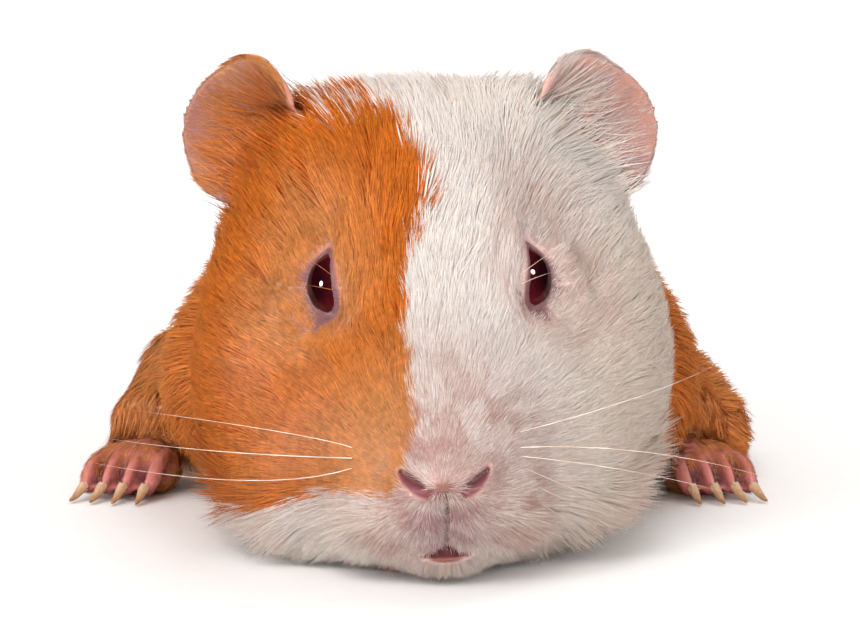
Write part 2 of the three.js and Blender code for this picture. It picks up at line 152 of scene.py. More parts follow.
def boxes(*starts: str) -> list[Array]:
    """The low and high corners of the nodes whose names start so, in millimetres."""
    return [np.array(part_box(name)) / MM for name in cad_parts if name.startswith(starts)]


def vectors(source: bpy.types.bpy_prop_collection, slot: str = "vector") -> Array:
    """Reads a vector of each element of a list."""
    flat = np.empty(len(source) * 3, np.float32)
    source.foreach_get(slot, flat)
    return flat.reshape(-1, 3).astype(float)


def places(mesh: bpy.types.Mesh) -> Array:
    """The mesh's points, in millimetres."""
    return vectors(mesh.vertices, "co") / MM


def move(mesh: bpy.types.Mesh, points: Array) -> None:
    """Puts the mesh's points at new places, given in millimetres."""
    mesh.vertices.foreach_set("co", (points * MM).astype(np.float32).ravel())
    mesh.update()


def normals(mesh: bpy.types.Mesh) -> Array:
    """The outward direction at each point of the mesh."""
    return vectors(mesh.vertex_normals)


def write(mesh: bpy.types.Mesh, name: str, values: Array) -> None:
    """Stores a number, a vector or a colour for each point of the mesh."""
    values = np.asarray(values, np.float32)
    width = 1 if values.ndim == 1 else values.shape[1]
    kind, slot = {1: ("FLOAT", "value"), 3: ("FLOAT_VECTOR", "vector"), 4: ("FLOAT_COLOR", "color")}[width]
    made = mesh.attributes.new(name, kind, "POINT")
    made.data.foreach_set(slot, values.ravel())


def place(name: str, mesh: bpy.types.Mesh, material: bpy.types.Material | None = None) -> bpy.types.Object:
    """Puts a mesh in the scene as an object of that name, at the origin."""
    mesh.name = name
    thing = bpy.data.objects.new(name, mesh)
    bpy.context.scene.collection.objects.link(thing)
    if material is not None:
        mesh.materials.clear()
        mesh.materials.append(material)
    return thing


def settle(thing: bpy.types.Object) -> bpy.types.Mesh:
    """Removes an object with modifiers, and gives the plain mesh that it showed."""
    bpy.context.view_layer.update()
    mesh = bpy.data.meshes.new_from_object(thing.evaluated_get(bpy.context.evaluated_depsgraph_get()))
    thing.modifiers.clear()
    bpy.data.objects.remove(thing)
    return mesh


def poured(shape: bmesh.types.BMesh, name: str) -> bpy.types.Mesh:
    """Turns a shape being edited into a mesh of that name."""
    mesh = bpy.data.meshes.new(name)
    shape.to_mesh(mesh)
    shape.free()
    return mesh


def joined(nodes: list[str], swell: float = 0.0) -> tuple[bpy.types.Mesh, list[int]]:
    """Joins CAD nodes in one mesh, with the loose triangles of each merged.

    Args:
        nodes: Their names.
        swell: How far each is swollen, in millimetres.

    Returns:
        The mesh, and how many of its points each node has.
    """
    whole = bmesh.new()
    counts = []
    for name in nodes:
        shape = bmesh.new()
        shape.from_mesh(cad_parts[name].data)
        bmesh.ops.remove_doubles(shape, verts=shape.verts, dist=0.001 * MM)
        shape.normal_update()
        counts.append(len(shape.verts))
        for point in shape.verts:
            point.co += point.normal * (swell * MM)
        part = poured(shape, name)
        whole.from_mesh(part)
        bpy.data.meshes.remove(part)
    return poured(whole, "joined"), counts


class Net:
    """Which points of a mesh are neighbours, for spreading values over its surface."""

    def __init__(self, mesh: bpy.types.Mesh) -> None:
        """Reads the mesh's edges."""
        edges = np.empty(len(mesh.edges) * 2, np.int32)
        mesh.edges.foreach_get("vertices", edges)
        self.edges = edges.reshape(-1, 2)
        self.count = len(mesh.vertices)
        self.here = self.edges.T.ravel()
        self.there = self.edges[:, ::-1].T.ravel()
        self.degree = np.maximum(np.bincount(self.here, minlength=self.count), 1)

    def blur(self, values: Array, rounds: int, share: float | Array = 0.5) -> Array:
        """Draws each point's value towards its neighbours'.

        Args:
            values: A number or a row for each point.
            rounds: How many times it is done.
            share: How far each time, one number or one for each point.

        Returns:
            The smoothed values.
        """
        rows = values.reshape(self.count, -1).astype(float)
        part = np.asarray(share, float).reshape(-1, 1)
        for _ in range(rounds):
            sums = [np.bincount(self.here, weights=row[self.there], minlength=self.count) for row in rows.T]
            rows = rows + part * (np.stack(sums, 1) / self.degree[:, None] - rows)
        return rows.reshape(values.shape)

    def largest(self) -> Array:
        """Marks the points of the largest connected part."""
        label = np.arange(self.count)
        while True:
            low = np.minimum(label[self.edges[:, 0]], label[self.edges[:, 1]])
            fresh = label.copy()
            for end in (0, 1):
                np.minimum.at(fresh, self.edges[:, end], low)
                np.minimum.at(fresh, label[self.edges[:, end]], low)
            fresh = fresh[fresh]
            if (fresh == label).all():
                break
            label = fresh
        return label == np.argmax(np.bincount(label))


class Wiring:
    """Writes a node tree: each method adds a node and gives the socket that leaves it."""

    def __init__(self, tree: bpy.types.NodeTree) -> None:
        """Starts on a tree."""
        self.tree = tree

    def add(self, kind: str, inputs: dict | None = None, **settings: object) -> bpy.types.Node:
        """Adds a node.

        Args:
            kind: Blender's name for the node type.
            inputs: For an input's name or place, the socket or constant that it takes.
            settings: The node's own properties.

        Returns:
            The node.
        """
        node = self.tree.nodes.new(kind)
        for name, value in settings.items():
            setattr(node, name, value)
        for key, value in (inputs or {}).items():
            if isinstance(key, int):
                socket = node.inputs[key]
            else:
                socket = next(one for one in node.inputs if one.name == key and one.enabled)
            if isinstance(value, bpy.types.NodeSocket):
                self.tree.links.new(value, socket)
            else:
                socket.default_value = value
        return node

    @staticmethod
    def out(node: bpy.types.Node, name: str = "") -> Socket:
        """The node's output of that name, or its first."""
        return next(one for one in node.outputs if one.enabled and name in ("", one.name))

    def get(self, kind: str, inputs: dict | None = None, leaves: str = "", **settings: object) -> Socket:
        """Adds a node and gives its output of that name, or its first."""
        return self.out(self.add(kind, inputs, **settings), leaves)

    def math(self, operation: str, *values: object) -> Socket:
        """A sum on numbers."""
        return self.get("ShaderNodeMath", dict(enumerate(values)), operation=operation)

    def vector(self, operation: str, *values: object, **inputs: object) -> Socket:
        """A sum on vectors."""
        return self.get("ShaderNodeVectorMath", {**dict(enumerate(values)), **inputs}, operation=operation)

    def total(self, *vectors: object) -> Socket:
        """Adds up any number of vectors."""
        whole = vectors[0]
        for one in vectors[1:]:
            whole = self.vector("ADD", whole, one)
        return whole

    def times(self, vector: object, *numbers: object) -> Socket:
        """Scales a vector by each of some numbers."""
        for number in numbers:
            vector = self.vector("SCALE", vector, Scale=number)
        return vector

    def row(self, *numbers: object) -> Socket:
        """Makes a vector of up to three numbers."""
        return self.get("ShaderNodeCombineXYZ", dict(enumerate(numbers)))

    # Geometry nodes.

    def attribute(self, name: str, kind: str = "FLOAT") -> Socket:
        """Reads a value stored on the geometry."""
        return self.get("GeometryNodeInputNamedAttribute", {"Name": name}, data_type=kind)

    def chance(self, low: float, high: float, seed: int, who: object = None) -> Socket:
        """A random number for each element, or for each one that shares the same number."""
        inputs = {"Min": low, "Max": high, "Seed": seed} | ({} if who is None else {"ID": who})
        return self.get("FunctionNodeRandomValue", inputs, data_type="FLOAT")

    def chances(self, most: float, seed: int, who: object = None) -> Socket:
        """A random vector whose numbers go up to so much each way."""
        return self.row(*(self.chance(-most, most, seed + axis, who) for axis in range(3)))

    def store(
        self, geometry: object, name: str, value: object, kind: str = "FLOAT", domain: str = "POINT"
    ) -> Socket:
        """Stores a value on the geometry under a name, and gives the geometry."""
        inputs = {"Geometry": geometry, "Name": name, "Value": value}
        return self.get("GeometryNodeStoreNamedAttribute", inputs, data_type=kind, domain=domain)

    def scatter(self, mesh: object, density: object, seed: object) -> bpy.types.Node:
        """Scatters points on a mesh."""
        inputs = {"Mesh": mesh, "Density": density, "Seed": seed}
        return self.add("GeometryNodeDistributePointsOnFaces", inputs, distribute_method="RANDOM")

    def under(self, mesh: object, value: object, spot: object) -> Socket:
        """A vector's value on a mesh at the place nearest to a spot."""
        inputs = {"Mesh": mesh, "Value": value, "Sample Position": spot}
        return self.get("GeometryNodeSampleNearestSurface", inputs, data_type="FLOAT_VECTOR")

    def doors(self, geometry: str, **others: str) -> bpy.types.bpy_prop_collection:
        """Gives the tree its inputs, a geometry and others by kind, and its output, "Made"."""
        kinds = {geometry: "Geometry", **others}
        for name, kind in kinds.items():
            self.tree.interface.new_socket(name, in_out="INPUT", socket_type="NodeSocket" + kind)
        self.tree.interface.new_socket("Made", in_out="OUTPUT", socket_type="NodeSocketGeometry")
        return self.add("NodeGroupInput").outputs

    def finish(self, geometry: object, finish: object) -> None:
        """Makes the geometry real, gives it a finish and sends it out of the tree."""
        solid = self.get("GeometryNodeRealizeInstances", {"Geometry": geometry})
        dressed = self.get("GeometryNodeSetMaterial", {"Geometry": solid, "Material": finish})
        self.add("NodeGroupOutput", {0: dressed})

    # Shader nodes.

    def painted(self, name: str, leaves: str = "Fac") -> Socket:
        """Reads a value stored on the mesh."""
        return self.get("ShaderNodeAttribute", leaves=leaves, attribute_name=name)

    def mix(self, share: object, first: object, second: object) -> Socket:
        """Mixes two colours."""
        node = self.add("ShaderNodeMix", {0: share, 6: first, 7: second}, data_type="RGBA")
        return node.outputs[2]

    def noise(self, size: float, detail: float = 2.0, stretch: Place = (1, 1, 1)) -> Socket:
        """Noise on the object's own coordinates, whose spots are about size millimetres wide."""
        spread = [one / (size * MM) for one in stretch]
        where = self.get("ShaderNodeTexCoord", leaves="Object")
        mapped = self.get("ShaderNodeMapping", {"Vector": where, "Scale": spread})
        return self.get("ShaderNodeTexNoise", {"Vector": mapped, "Scale": 1.0, "Detail": detail})

    def spread(self, value: object, low: float, high: float, new_low: float, new_high: float) -> Socket:
        """Maps one range of numbers on to another, without going past it."""
        inputs = dict(enumerate((value, low, high, new_low, new_high)))
        return self.get("ShaderNodeMapRange", inputs, clamp=True)

    def relief(self, height: object, depth: float) -> Socket:
        """A bump of that depth, in millimetres."""
        return self.get("ShaderNodeBump", {"Height": height, "Distance": depth * MM, "Strength": 1.0})


def drive(thing: bpy.types.Object, tree: bpy.types.NodeTree, **values: object) -> bpy.types.Mesh:
    """Runs a Geometry Nodes tree on an object.

    Args:
        thing: The object, which is removed.
        tree: The tree.
        values: The tree's inputs, by name.

    Returns:
        The plain mesh that the tree makes.
    """
    modifier = thing.modifiers.new(tree.name, "NODES")
    modifier.node_group = tree
    for item in tree.interface.items_tree:
        if item.in_out == "INPUT" and item.name in values:
            modifier[item.identifier] = values[item.name]
    return settle(thing)


# ---- Landmarks --------------------------------------------------------------------------------------


@dataclass(frozen=True)
class HeadTurn:
    """The head's small turn from straight ahead."""

    yaw: float = 3.0  # degrees, the nose towards +X
    roll: float = 1.8  # degrees, the left side raised
    pivot: Place = (0, -97, 38)

    def matrix(self) -> Array:
        """The turn as a matrix of columns."""
        yaw, roll = math.radians(self.yaw), math.radians(-self.roll)
        about_z = [[math.cos(yaw), -math.sin(yaw), 0], [math.sin(yaw), math.cos(yaw), 0], [0, 0, 1]]
        about_y = [[math.cos(roll), 0, math.sin(roll)], [0, 1, 0], [-math.sin(roll), 0, math.cos(roll)]]
        return np.array(about_z) @ np.array(about_y)

    def straight(self, points: Array) -> Array:
        """Where the points would be if the head looked straight ahead."""
        return (points - self.pivot) @ self.matrix() + self.pivot

    def turned(self, points: Array) -> Array:
        """Where points of the straight head are in truth."""
        return (np.asarray(points, float) - self.pivot) @ self.matrix().T + self.pivot

    def ways(self, vectors: Array) -> Array:
        """Turns directions of the straight head."""
        return np.asarray(vectors, float) @ self.matrix().T


@dataclass(frozen=True)
class Ring:
    """A ring round an eye's axis. Its sizes are in radii of the ball."""

    ahead: float
    behind: float
    up: float
    blunt_ahead: float = 2.0  # 2 is an ellipse, more is squarer, less is more pointed
    blunt_behind: float = 3.0
    tilt: float = 0.0  # how far its lower end leans ahead

    def edge(self, around: Array, side: int) -> Array:
        """How far from the axis the ring is at each angle, in radii."""
        across = np.cos(around) * side - self.tilt * np.sin(around)
        upward = np.abs(np.sin(around)) / self.up
        wide = np.where(across > 0, self.behind, self.ahead)
        power = np.where(across > 0, self.blunt_behind, self.blunt_ahead)
        return ((np.abs(across) / wide) ** power + upward**power) ** (-1 / power)

    def reach(self, across: Array, up: Array, side: int) -> Array:
        """How far out each place is, 1 on the ring."""
        return np.hypot(across, up) / self.edge(np.arctan2(up, across), side)


@dataclass(frozen=True)
class EyeSocket:
    """An eye's ball and the rings round it."""

    side: int
    head: HeadTurn
    radius: float = 5.0
    azimuth: float = 64.0  # degrees from straight ahead
    lift: float = 8.0
    lids: Ring = Ring(0.74, 0.57, 0.92, tilt=0.2)
    hole: Ring = Ring(0.93, 0.93, 0.88)  # in the solids
    bald: Ring = Ring(0.85, 0.6, 1.2, 1.5, 1.5, 0.3)  # the end of the bare rim
    drop: float = 0.12  # how far that ring lies below the axis
    rim: float = 1.1  # the bare rim's least width, in openings

    @property
    def centre(self) -> Array:
        """The ball's middle, from the solid's box."""
        low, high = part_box("eye_left" if self.side > 0 else "eye_right")
        return (np.array(low) + np.array(high)) / 2 / MM

    def axes(self) -> Array:
        """Rows of the eye's own directions: across, up and out."""
        out = bearing(self.side * self.azimuth, self.lift)
        across = unit(np.cross([0, 0, 1], out))
        return self.head.ways(np.stack([across, np.cross(out, across), out]))

    def local(self, points: Array) -> Array:
        """The points in the eye's own directions, from the ball's middle."""
        return (points - self.centre) @ self.axes().T

    def world(self, points: Array) -> Array:
        """Points of the eye's own directions, back in the frame."""
        return np.asarray(points, float) @ self.axes() + self.centre

    def reach(self, points: Array, bare: bool = False) -> Array:
        """How far out from the axis each point is, 1 on the opening's edge or at the end of the bare rim."""
        across, up, out = self.local(points).T / self.radius
        reach = self.lids.reach(across, up, self.side)
        if bare:
            reach = np.minimum(reach / self.rim, self.bald.reach(across, up + self.drop, self.side))
        return np.where(out > -0.2, reach, FAR)

    def outward(self, points: Array) -> Array:
        """The direction away from the axis at each point."""
        return unit(self.local(points) * [1, 1, 0] + [1e-6, 0, 0]) @ self.axes()


@dataclass(frozen=True)
class Face:
    """Where the nose, lips and other marks of the face are, on the straight head."""

    head: HeadTurn = HeadTurn()
    nose: Place = (1.0, -124.0, 12.0)  # the coat lies away from here
    nostril: tuple = ((2.9, 13.8), (3.7, 14.2), (4.7, 14.8), (5.4, 15.3))
    cleft: tuple = ((0.0, 12.6), (0.0, 9.6), (0.0, 6.6))
    mouth: tuple = ((-2.8, 4.3), (-1.3, 4.8), (0.0, 5.7), (1.3, 4.8), (2.8, 4.3))
    front: float = -104.0  # what lies ahead of this y belongs to the muzzle

    def eyes(self) -> list[EyeSocket]:
        """Both eyes, the animal's left first."""
        return [EyeSocket(side, self.head) for side in (1, -1)]

    def from_nose(self, points: Array) -> Array:
        """How far each point is from the place that the coat lies away from."""
        return np.linalg.norm(points - self.nose, axis=1)

    def ahead(self, straight: Array) -> Array:
        """1 on the front of the muzzle, fading to 0 behind it."""
        return ramp(-straight[:, 1], -self.front, 2 - self.front)

    def pad(self, straight: Array) -> Array:
        """1 on the bare nose between and under the nostrils, fading to 0 around it."""
        x, z = np.abs(straight[:, 0]), straight[:, 2]
        lobes = np.hypot((x - 3.4) / 2.4, (z - 13.6 - 0.5 * (x - 3.4)) / 1.2)
        return (1 - ramp(lobes, 0.65, 1.3)) * self.ahead(straight)

    def tip(self, straight: Array) -> Array:
        """1 on the thinly haired tip between the two pads, fading to 0 around it."""
        middle = np.hypot(straight[:, 0] / 2.5, (straight[:, 2] - 13.3) / 1.4)
        return (1 - ramp(middle, 0.4, 1.3)) * self.ahead(straight)

    def gape(self, straight: Array, size: float = 1.0) -> Array:
        """1 in the small opening of the mouth under the cleft, fading to 0 around it."""
        x, z = np.abs(straight[:, 0]), straight[:, 2]
        inside = np.maximum(x / 2.1 + (z - 4.2) / 1.4, (3.9 - z) / 0.5 + 1)
        return (1 - ramp(inside / size, 0.7, 1.2)) * self.ahead(straight)

    def lips(self, straight: Array) -> Array:
        """1 on the bare edge of the lips and in the cleft, fading to 0 around them."""
        flat = straight[:, [0, 2]]
        mouth, _ = from_line(flat, self.mouth)
        cleft, _ = from_line(flat, self.cleft)
        lower = np.hypot(straight[:, 0] / 2.5, (straight[:, 2] - 3.9) / 0.75)
        edges = np.maximum(1 - ramp(mouth, 0.3, 0.9), 1 - ramp(lower, 0.6, 1.3))
        return np.maximum(edges, 0.9 * (1 - ramp(cleft, 0.15, 0.75))) * self.ahead(straight)


class Zone(Enum):
    """The kinds of surface that the coat treats alike, with how the names of their nodes start."""

    HEAD = ("head",)
    EARS = ("ear_",)
    TRUNK = ("neck", "chest", "torso", "rump", "foreleg_upper", "hindleg_upper")
    FOREARMS = ("foreleg_lower",)
    PAWS = ("forepaw", "hindpaw")


@dataclass
class Site:
    """All that is known about each point of the skin, before the coat's depth is taken off it."""

    points: Array
    normals: Array
    nodes: list[str]
    node: Array
    shares: dict[Zone, Array]
    face: Face = Face()

    def __post_init__(self) -> None:
        """Works out the places that several rules use."""
        self.straight = self.face.head.straight(self.points)
        self.from_nose = self.face.from_nose(self.points)
        eyes = self.face.eyes()
        near = np.min([np.linalg.norm(self.points - eye.centre, axis=1) for eye in eyes], axis=0)
        self.eye_reach, self.eye_bald = (
            np.where(near < NEAR_EYE, np.min([eye.reach(self.points, bare) for eye in eyes], axis=0), FAR)
            for bare in (False, True)
        )
        self.from_head, _ = from_line(np.abs(self.straight[:, [0, 2]]), [(18, 67), (19, 57), (22.5, 48)])
        self.head = self.shares[Zone.HEAD]
        self.pad = self.face.pad(self.straight) * self.head
        self.tip = self.face.tip(self.straight) * self.head
        self.lips = self.face.lips(self.straight) * self.head

    def on(self, start: str) -> Array:
        """Marks the points on nodes whose names start so."""
        wanted = [index for index, name in enumerate(self.nodes) if name.startswith(start)]
        return np.isin(self.node, wanted)

    def blend(self, **values: Array | float) -> Array:
        """Mixes one value for each zone, given by the zone's name in small letters."""
        return sum(self.shares[zone] * values[zone.name.lower()] for zone in Zone)


# ---- Colours ----------------------------------------------------------------------------------------


@dataclass(frozen=True)
class Markings:
    """Which places carry the orange coat: a face parted down the middle, and a saddle of white."""

    blaze_z: tuple = (-10, 15, 20, 28, 37, 45, 48, 53, 60, 66)
    blaze_x: tuple = (-6, -5.0, -3.2, -3.8, -3.2, -2.2, 0.7, -1.6, -4.5, -6.0)
    jaw_x: tuple = (5, 12, 20, 25, 29)  # out from the middle
    jaw_z: tuple = (12.8, 11.7, 10.2, 8.4, -4)  # below this height the orange side of the face is white
    fringe: tuple = (-9.0, 61.0, 6.0, 5.5)  # x, z and spread of the pale hair over the crown
    collar: tuple = (-29.5, -69.0, 43.0, 5.5)  # a white tuft below the right ear, and its spread
    bib: tuple = (-6.0, 3.5, 7.0)  # orange tips under the chin: the middle, the top and the spread
    saddle: tuple[float, float] = (12.0, 40.0)  # the white band round the waist, from y to y
    belly: float = 5.0

    def orange(self, site: Site) -> Array:
        """How orange each point is, 0 to 1, with 0.5 at an edge of the pattern."""
        x, y, z = site.straight.T
        wander = 1.3 * Waver(7.0, 11)(site.points) + 0.7 * Waver(2.6, 12)(site.points)
        blaze = np.interp(z, self.blaze_z, self.blaze_x)
        side = ramp(blaze - x + wander * 0.5, -1.6, 1.6)
        jaw = ramp(z - self.jaw(x) + wander * 0.6, -1.6, 1.6)
        across, height, wide, tall = self.fringe
        pale = np.exp(-(((x - across) / wide) ** 2) - ((z - height) / tall) ** 2) * ramp(-y, 66, 76)
        tuft = bump(np.linalg.norm(site.points - self.collar[:3], axis=1), 0, self.collar[3])
        tuft = tuft * (1 - site.shares[Zone.EARS])
        head = side * jaw * (1 - 0.5 * pale)
        x_in, z_in, spread = self.bib
        head = np.maximum(head, 0.55 * bump(x, x_in, spread) * (1 - ramp(z, z_in - 2, z_in)))
        wide = 4.0 * Waver(16.0, 13)(site.points)
        start, end = self.saddle
        waist = ramp(site.points[:, 1] - start + wide, -2, 2) * ramp(end - site.points[:, 1] + wide, -2, 2)
        body = (1 - waist) * ramp(site.points[:, 2] - self.belly + wander, -2, 2)
        body = np.maximum(body, site.on("foreleg"))
        ear = np.where(site.points[:, 0] < 0, 1.0, 0.0)
        orange = site.blend(head=head, ears=ear, trunk=body, forearms=1.0, paws=1.0)
        return np.clip(orange * (1 - tuft), 0, 1)

    def jaw(self, x: Array) -> Array:
        """How high the white of the jaw reaches."""
        return np.interp(-x, self.jaw_x, self.jaw_z)

    def flush(self, site: Site) -> Array:
        """How thin, pale and rosy the coat is at each point, 0 to 1: round the nose, lips and eyes, with
        painted light on the forelegs.
        """
        x, _, z = site.straight.T
        chin = 1 - ramp(z - 6 * ramp(-x, 5, 12), 2, 5)
        muzzle = (1 - ramp(site.from_nose, 11, 30)) * (1 - 0.8 * chin)
        eyes = 0.7 * (1 - ramp(site.eye_reach, 1.5, 3.6))
        edge = 0.3 * bump(z, self.jaw(x) + 3, 8) * ramp(-x, 10, 20) * (1 - ramp(-x, 26, 34))
        # Painted light: the forelegs are painted paler, the right one more than the left.
        arms = bump(np.abs(site.points[:, 0]), 44, 20) * bump(site.points[:, 1], -16, 34)
        arms = arms * np.where(site.points[:, 0] < 0, 1.0, 0.6)
        thin = 0.85 * site.shares[Zone.EARS] + site.shares[Zone.PAWS]
        return np.clip(np.maximum.reduce([muzzle, eyes, edge, arms, thin]), 0, 1)

    def cream(self, site: Site) -> Array:
        """How creamy the white coat is at each point, 0 to 1: on the left cheek, partly its own tan tint and
        partly painted shade.
        """
        x, _, z = site.straight.T
        return ramp(x, 6, 24) * (1 - ramp(z, 32, 50)) * site.head

    def dusk(self, site: Site) -> Array:
        """How mauve the coat is at each point, 0 to 1: on the upper lips and low on the ears."""
        x, y, z = site.straight.T
        lips = np.hypot(x / 5.6, (z - 8.6) / 3.6)
        lips = (1 - ramp(lips + 0.2 * Waver(1.6, 14)(site.points), 0.5, 1.3)) * ramp(-y, 106, 109)
        return np.maximum(lips, 0.8 * site.shares[Zone.EARS] * (1 - ramp(z, 50, 62)))


@dataclass(frozen=True)
class Complexion:
    """The skin's own colours, under the coat and where it is bare."""

    under_white: str = "#EAD6CB"
    under_orange: str = "#B05A20"
    rosy: str = "#C48C82"
    nose: str = "#824A4E"
    tip: str = "#90655C"
    lip: str = "#8E544C"
    dusky: str = "#A8747A"
    # Painted shade: the dark in the nostrils, the cleft, the mouth and the grooves between the toes.
    crease_shade: str = "#5A242C"
    rim: str = "#7A5052"
    pink_ear: str = "#D59A8A"
    pink_ear_edge: str = "#B58070"
    tan_ear: str = "#B07C6C"
    tan_ear_edge: str = "#955F56"
    paw: str = "#CE7F77"
    sole: str = "#8E4444"

    def paint(self, site: Site, orange: Array, flush: Array, dusk: Array, crease_shade: Array) -> Array:
        """Mixes the skin's colour at each point.

        Args:
            site: The points.
            orange: How orange the coat is there.
            flush: How thin and rosy the coat is there, with painted light on the forelegs.
            dusk: How mauve the coat is there.
            crease_shade: How deep in a nostril, the cleft, the mouth or a toe groove a point is, for painted
                shade.

        Returns:
            One linear colour for each point.
        """
        ears = site.shares[Zone.EARS] * ramp(site.from_head, 3.0, 6.5)
        outward = np.maximum(ramp(site.from_head, 6, 15), 1 - ramp(site.points[:, 2], 46, 53))
        tan = site.points[:, 0] < 0
        paws = site.shares[Zone.PAWS]
        layers = (
            # The rosy layer also carries the forelegs' painted light.
            (self.rosy, 0.8 * flush),
            (self.under_orange, ramp(orange, 0.35, 0.65) * (1 - 0.4 * flush)),
            (self.dusky, 0.8 * dusk),
            (self.pink_ear, ears * ~tan),
            (self.pink_ear_edge, ears * ~tan * outward * 0.9),
            (self.tan_ear, ears * tan),
            (self.tan_ear_edge, ears * tan * outward * 0.9),
            (self.paw, paws),
            (self.sole, paws * (1 - ramp(site.points[:, 2], 0.6, 3.4))),
            (self.rim, 1 - ramp(site.eye_bald, 0.98, 1.15)),
            (self.lip, site.lips),
            (self.tip, site.tip),
            (self.nose, site.pad),
            # painted shade in the nostrils, the cleft, the mouth and between the toes
            (self.crease_shade, crease_shade),
        )
        colour = np.tile(tone(self.under_white), (len(orange), 1))
        for code, share in layers:
            colour = colour + np.clip(share, 0, 1)[:, None] * (np.array(tone(code)) - colour)
        return colour


# ---- Finishes ---------------------------------------------------------------------------------------


class Finish:
    """A finish makes one material: a Principled shader with some inputs wired and some fixed."""

    name: str = "finish"
    fixed: ClassVar[dict[str, object]] = {}

    def make(self) -> bpy.types.Material:
        """Makes the material."""
        material = bpy.data.materials.new(self.name)
        material.use_nodes = True
        shader = material.node_tree.nodes["Principled BSDF"]
        for name, socket in self.wire(Wiring(material.node_tree)).items():
            material.node_tree.links.new(socket, shader.inputs[name])
        for name, value in self.fixed.items():
            shader.inputs[name].default_value = value
        return material

    def wire(self, wiring: Wiring) -> dict[str, Socket]:
        """What leads to the shader's inputs, by their names."""
        raise NotImplementedError


@dataclass(frozen=True)
class SkinFinish(Finish):
    """Soft skin with pores and fine creases, lit a little from within."""

    name: str = "living_skin"
    shadow: str = "#8E5A55"
    mottle: float = 2.2
    pore: float = 0.35
    depth: float = 0.12
    fixed: ClassVar[dict[str, object]] = {
        "Subsurface Weight": 0.25,
        "Subsurface Radius": (1.0, 0.35, 0.25),
        "Subsurface Scale": 1.2 * MM,
        "Specular IOR Level": 0.35,
    }

    def wire(self, wiring: Wiring) -> dict[str, Socket]:
        """Mottles the painted tone and puts pores and creases on it."""
        base = wiring.painted("tone", "Color")
        patches = wiring.noise(self.mottle, 4.0)
        darker = wiring.mix(wiring.spread(patches, 0.35, 0.7, 0.0, 0.45), base, tone(self.shadow))
        pores = wiring.noise(self.pore, 3.0)
        creases = wiring.noise(self.pore * 3, 2.0, (1.0, 1.0, 2.2))
        height = wiring.math("ADD", wiring.math("MULTIPLY", pores, 0.5), creases)
        return {
            "Base Color": wiring.mix(wiring.spread(patches, 0.35, 0.7, 0.0, 0.5), base, darker),
            "Normal": wiring.relief(height, self.depth),
            "Roughness": wiring.spread(pores, 0.3, 0.7, 0.42, 0.62),
        }


@dataclass(frozen=True)
class FurFinish(Finish):
    """Hair that is darker at the root and paler at the tip, in both of the coat's colours."""

    name: str = "fur"
    orange: tuple[str, str, str] = ("#943A06", "#D25F12", "#EC8626")
    white: tuple[str, str, str] = ("#E4CCBE", "#F2E3D8", "#FBF1E9")
    # also the colour of the painted light on the forelegs
    pale_and_lit_orange: str = "#F4AE6C"
    rosy_white: str = "#CB9588"
    dusky: str = "#B08288"
    # partly the left cheek's tan tint, partly painted shade
    creamy_and_shaded: str = "#E2C9B4"
    orange_variety: float = 0.4
    white_variety: float = 0.12
    streak: float = 0.9
    fixed: ClassVar[dict[str, object]] = {
        "Specular IOR Level": 0.2,
        "Subsurface Weight": 0.45,
        "Subsurface Radius": (1.0, 0.75, 0.6),
        "Subsurface Scale": 1.2 * MM,
    }

    def wire(self, wiring: Wiring) -> dict[str, Socket]:
        """Colours each lock from root to tip by its own tint, shade and place."""
        names = ("along", "shade", "tint", "flush", "dusk", "cream")
        along, shade, tint, flush, dusk, cream = (wiring.painted(name) for name in names)
        low = wiring.spread(along, 0.0, 0.45, 0.0, 1.0)
        high = wiring.spread(along, 0.45, 1.0, 0.0, 1.0)
        white, orange = (
            wiring.mix(high, wiring.mix(low, tone(root), tone(middle)), tone(tip))
            for root, middle, tip in (self.white, self.orange)
        )
        darker = wiring.spread(shade, 0.15, 0.8, 1.0, 0.15)  # the darker hairs take more of each tint
        # The left cheek: partly its own tan tint, partly painted shade.
        white = wiring.mix(wiring.math("MULTIPLY", cream, 0.6), white, tone(self.creamy_and_shaded))
        white = wiring.mix(wiring.math("MULTIPLY", flush, darker), white, tone(self.rosy_white))
        white = wiring.mix(wiring.math("MULTIPLY", dusk, darker), white, tone(self.dusky))
        # Pale orange where the coat is thin, and painted light on the forelegs.
        orange = wiring.mix(wiring.math("MULTIPLY", flush, 0.55), orange, tone(self.pale_and_lit_orange))
        streaks = wiring.spread(wiring.noise(self.streak, 2.0), 0.3, 0.7, -0.25, 0.25)
        light = wiring.math("ADD", shade, streaks)
        swing = wiring.math("SUBTRACT", wiring.math("MULTIPLY", light, 1.4), 1.0)
        variety = wiring.spread(tint, 0.0, 1.0, self.white_variety, self.orange_variety)
        value = wiring.math("MULTIPLY_ADD", swing, variety, 1.0)
        colour = wiring.mix(tint, white, orange)
        return {
            "Base Color": wiring.get("ShaderNodeHueSaturation", {"Value": value, "Color": colour}),
            "Roughness": wiring.spread(shade, 0.0, 1.0, 0.62, 0.44),
        }


@dataclass(frozen=True)
class EyeFinish(Finish):
    """A wet, very dark ruby ball, a little redder towards its edge and, as a painted reflection, below."""

    name: str = "ruby_eye"
    dark: str = "#1E0509"
    ruby: str = "#5E161E"
    fixed: ClassVar[dict[str, object]] = {
        "IOR": 1.38,
        "Specular IOR Level": 0.0,
        "Coat Weight": 0.45,
        "Coat Roughness": 0.02,
    }

    def wire(self, wiring: Wiring) -> dict[str, Socket]:
        """Streaks the ruby with the dark."""
        streaks = wiring.noise(0.7, 4.0, (1, 1, 0.4))
        share = wiring.math("MULTIPLY", wiring.painted("iris_and_reflection"), wiring.spread(streaks, 0.3, 0.75, 0.55, 1.0))
        return {
            "Base Color": wiring.mix(share, tone(self.dark), tone(self.ruby)),
            "Roughness": wiring.spread(streaks, 0.0, 1.0, 0.04, 0.1),
        }


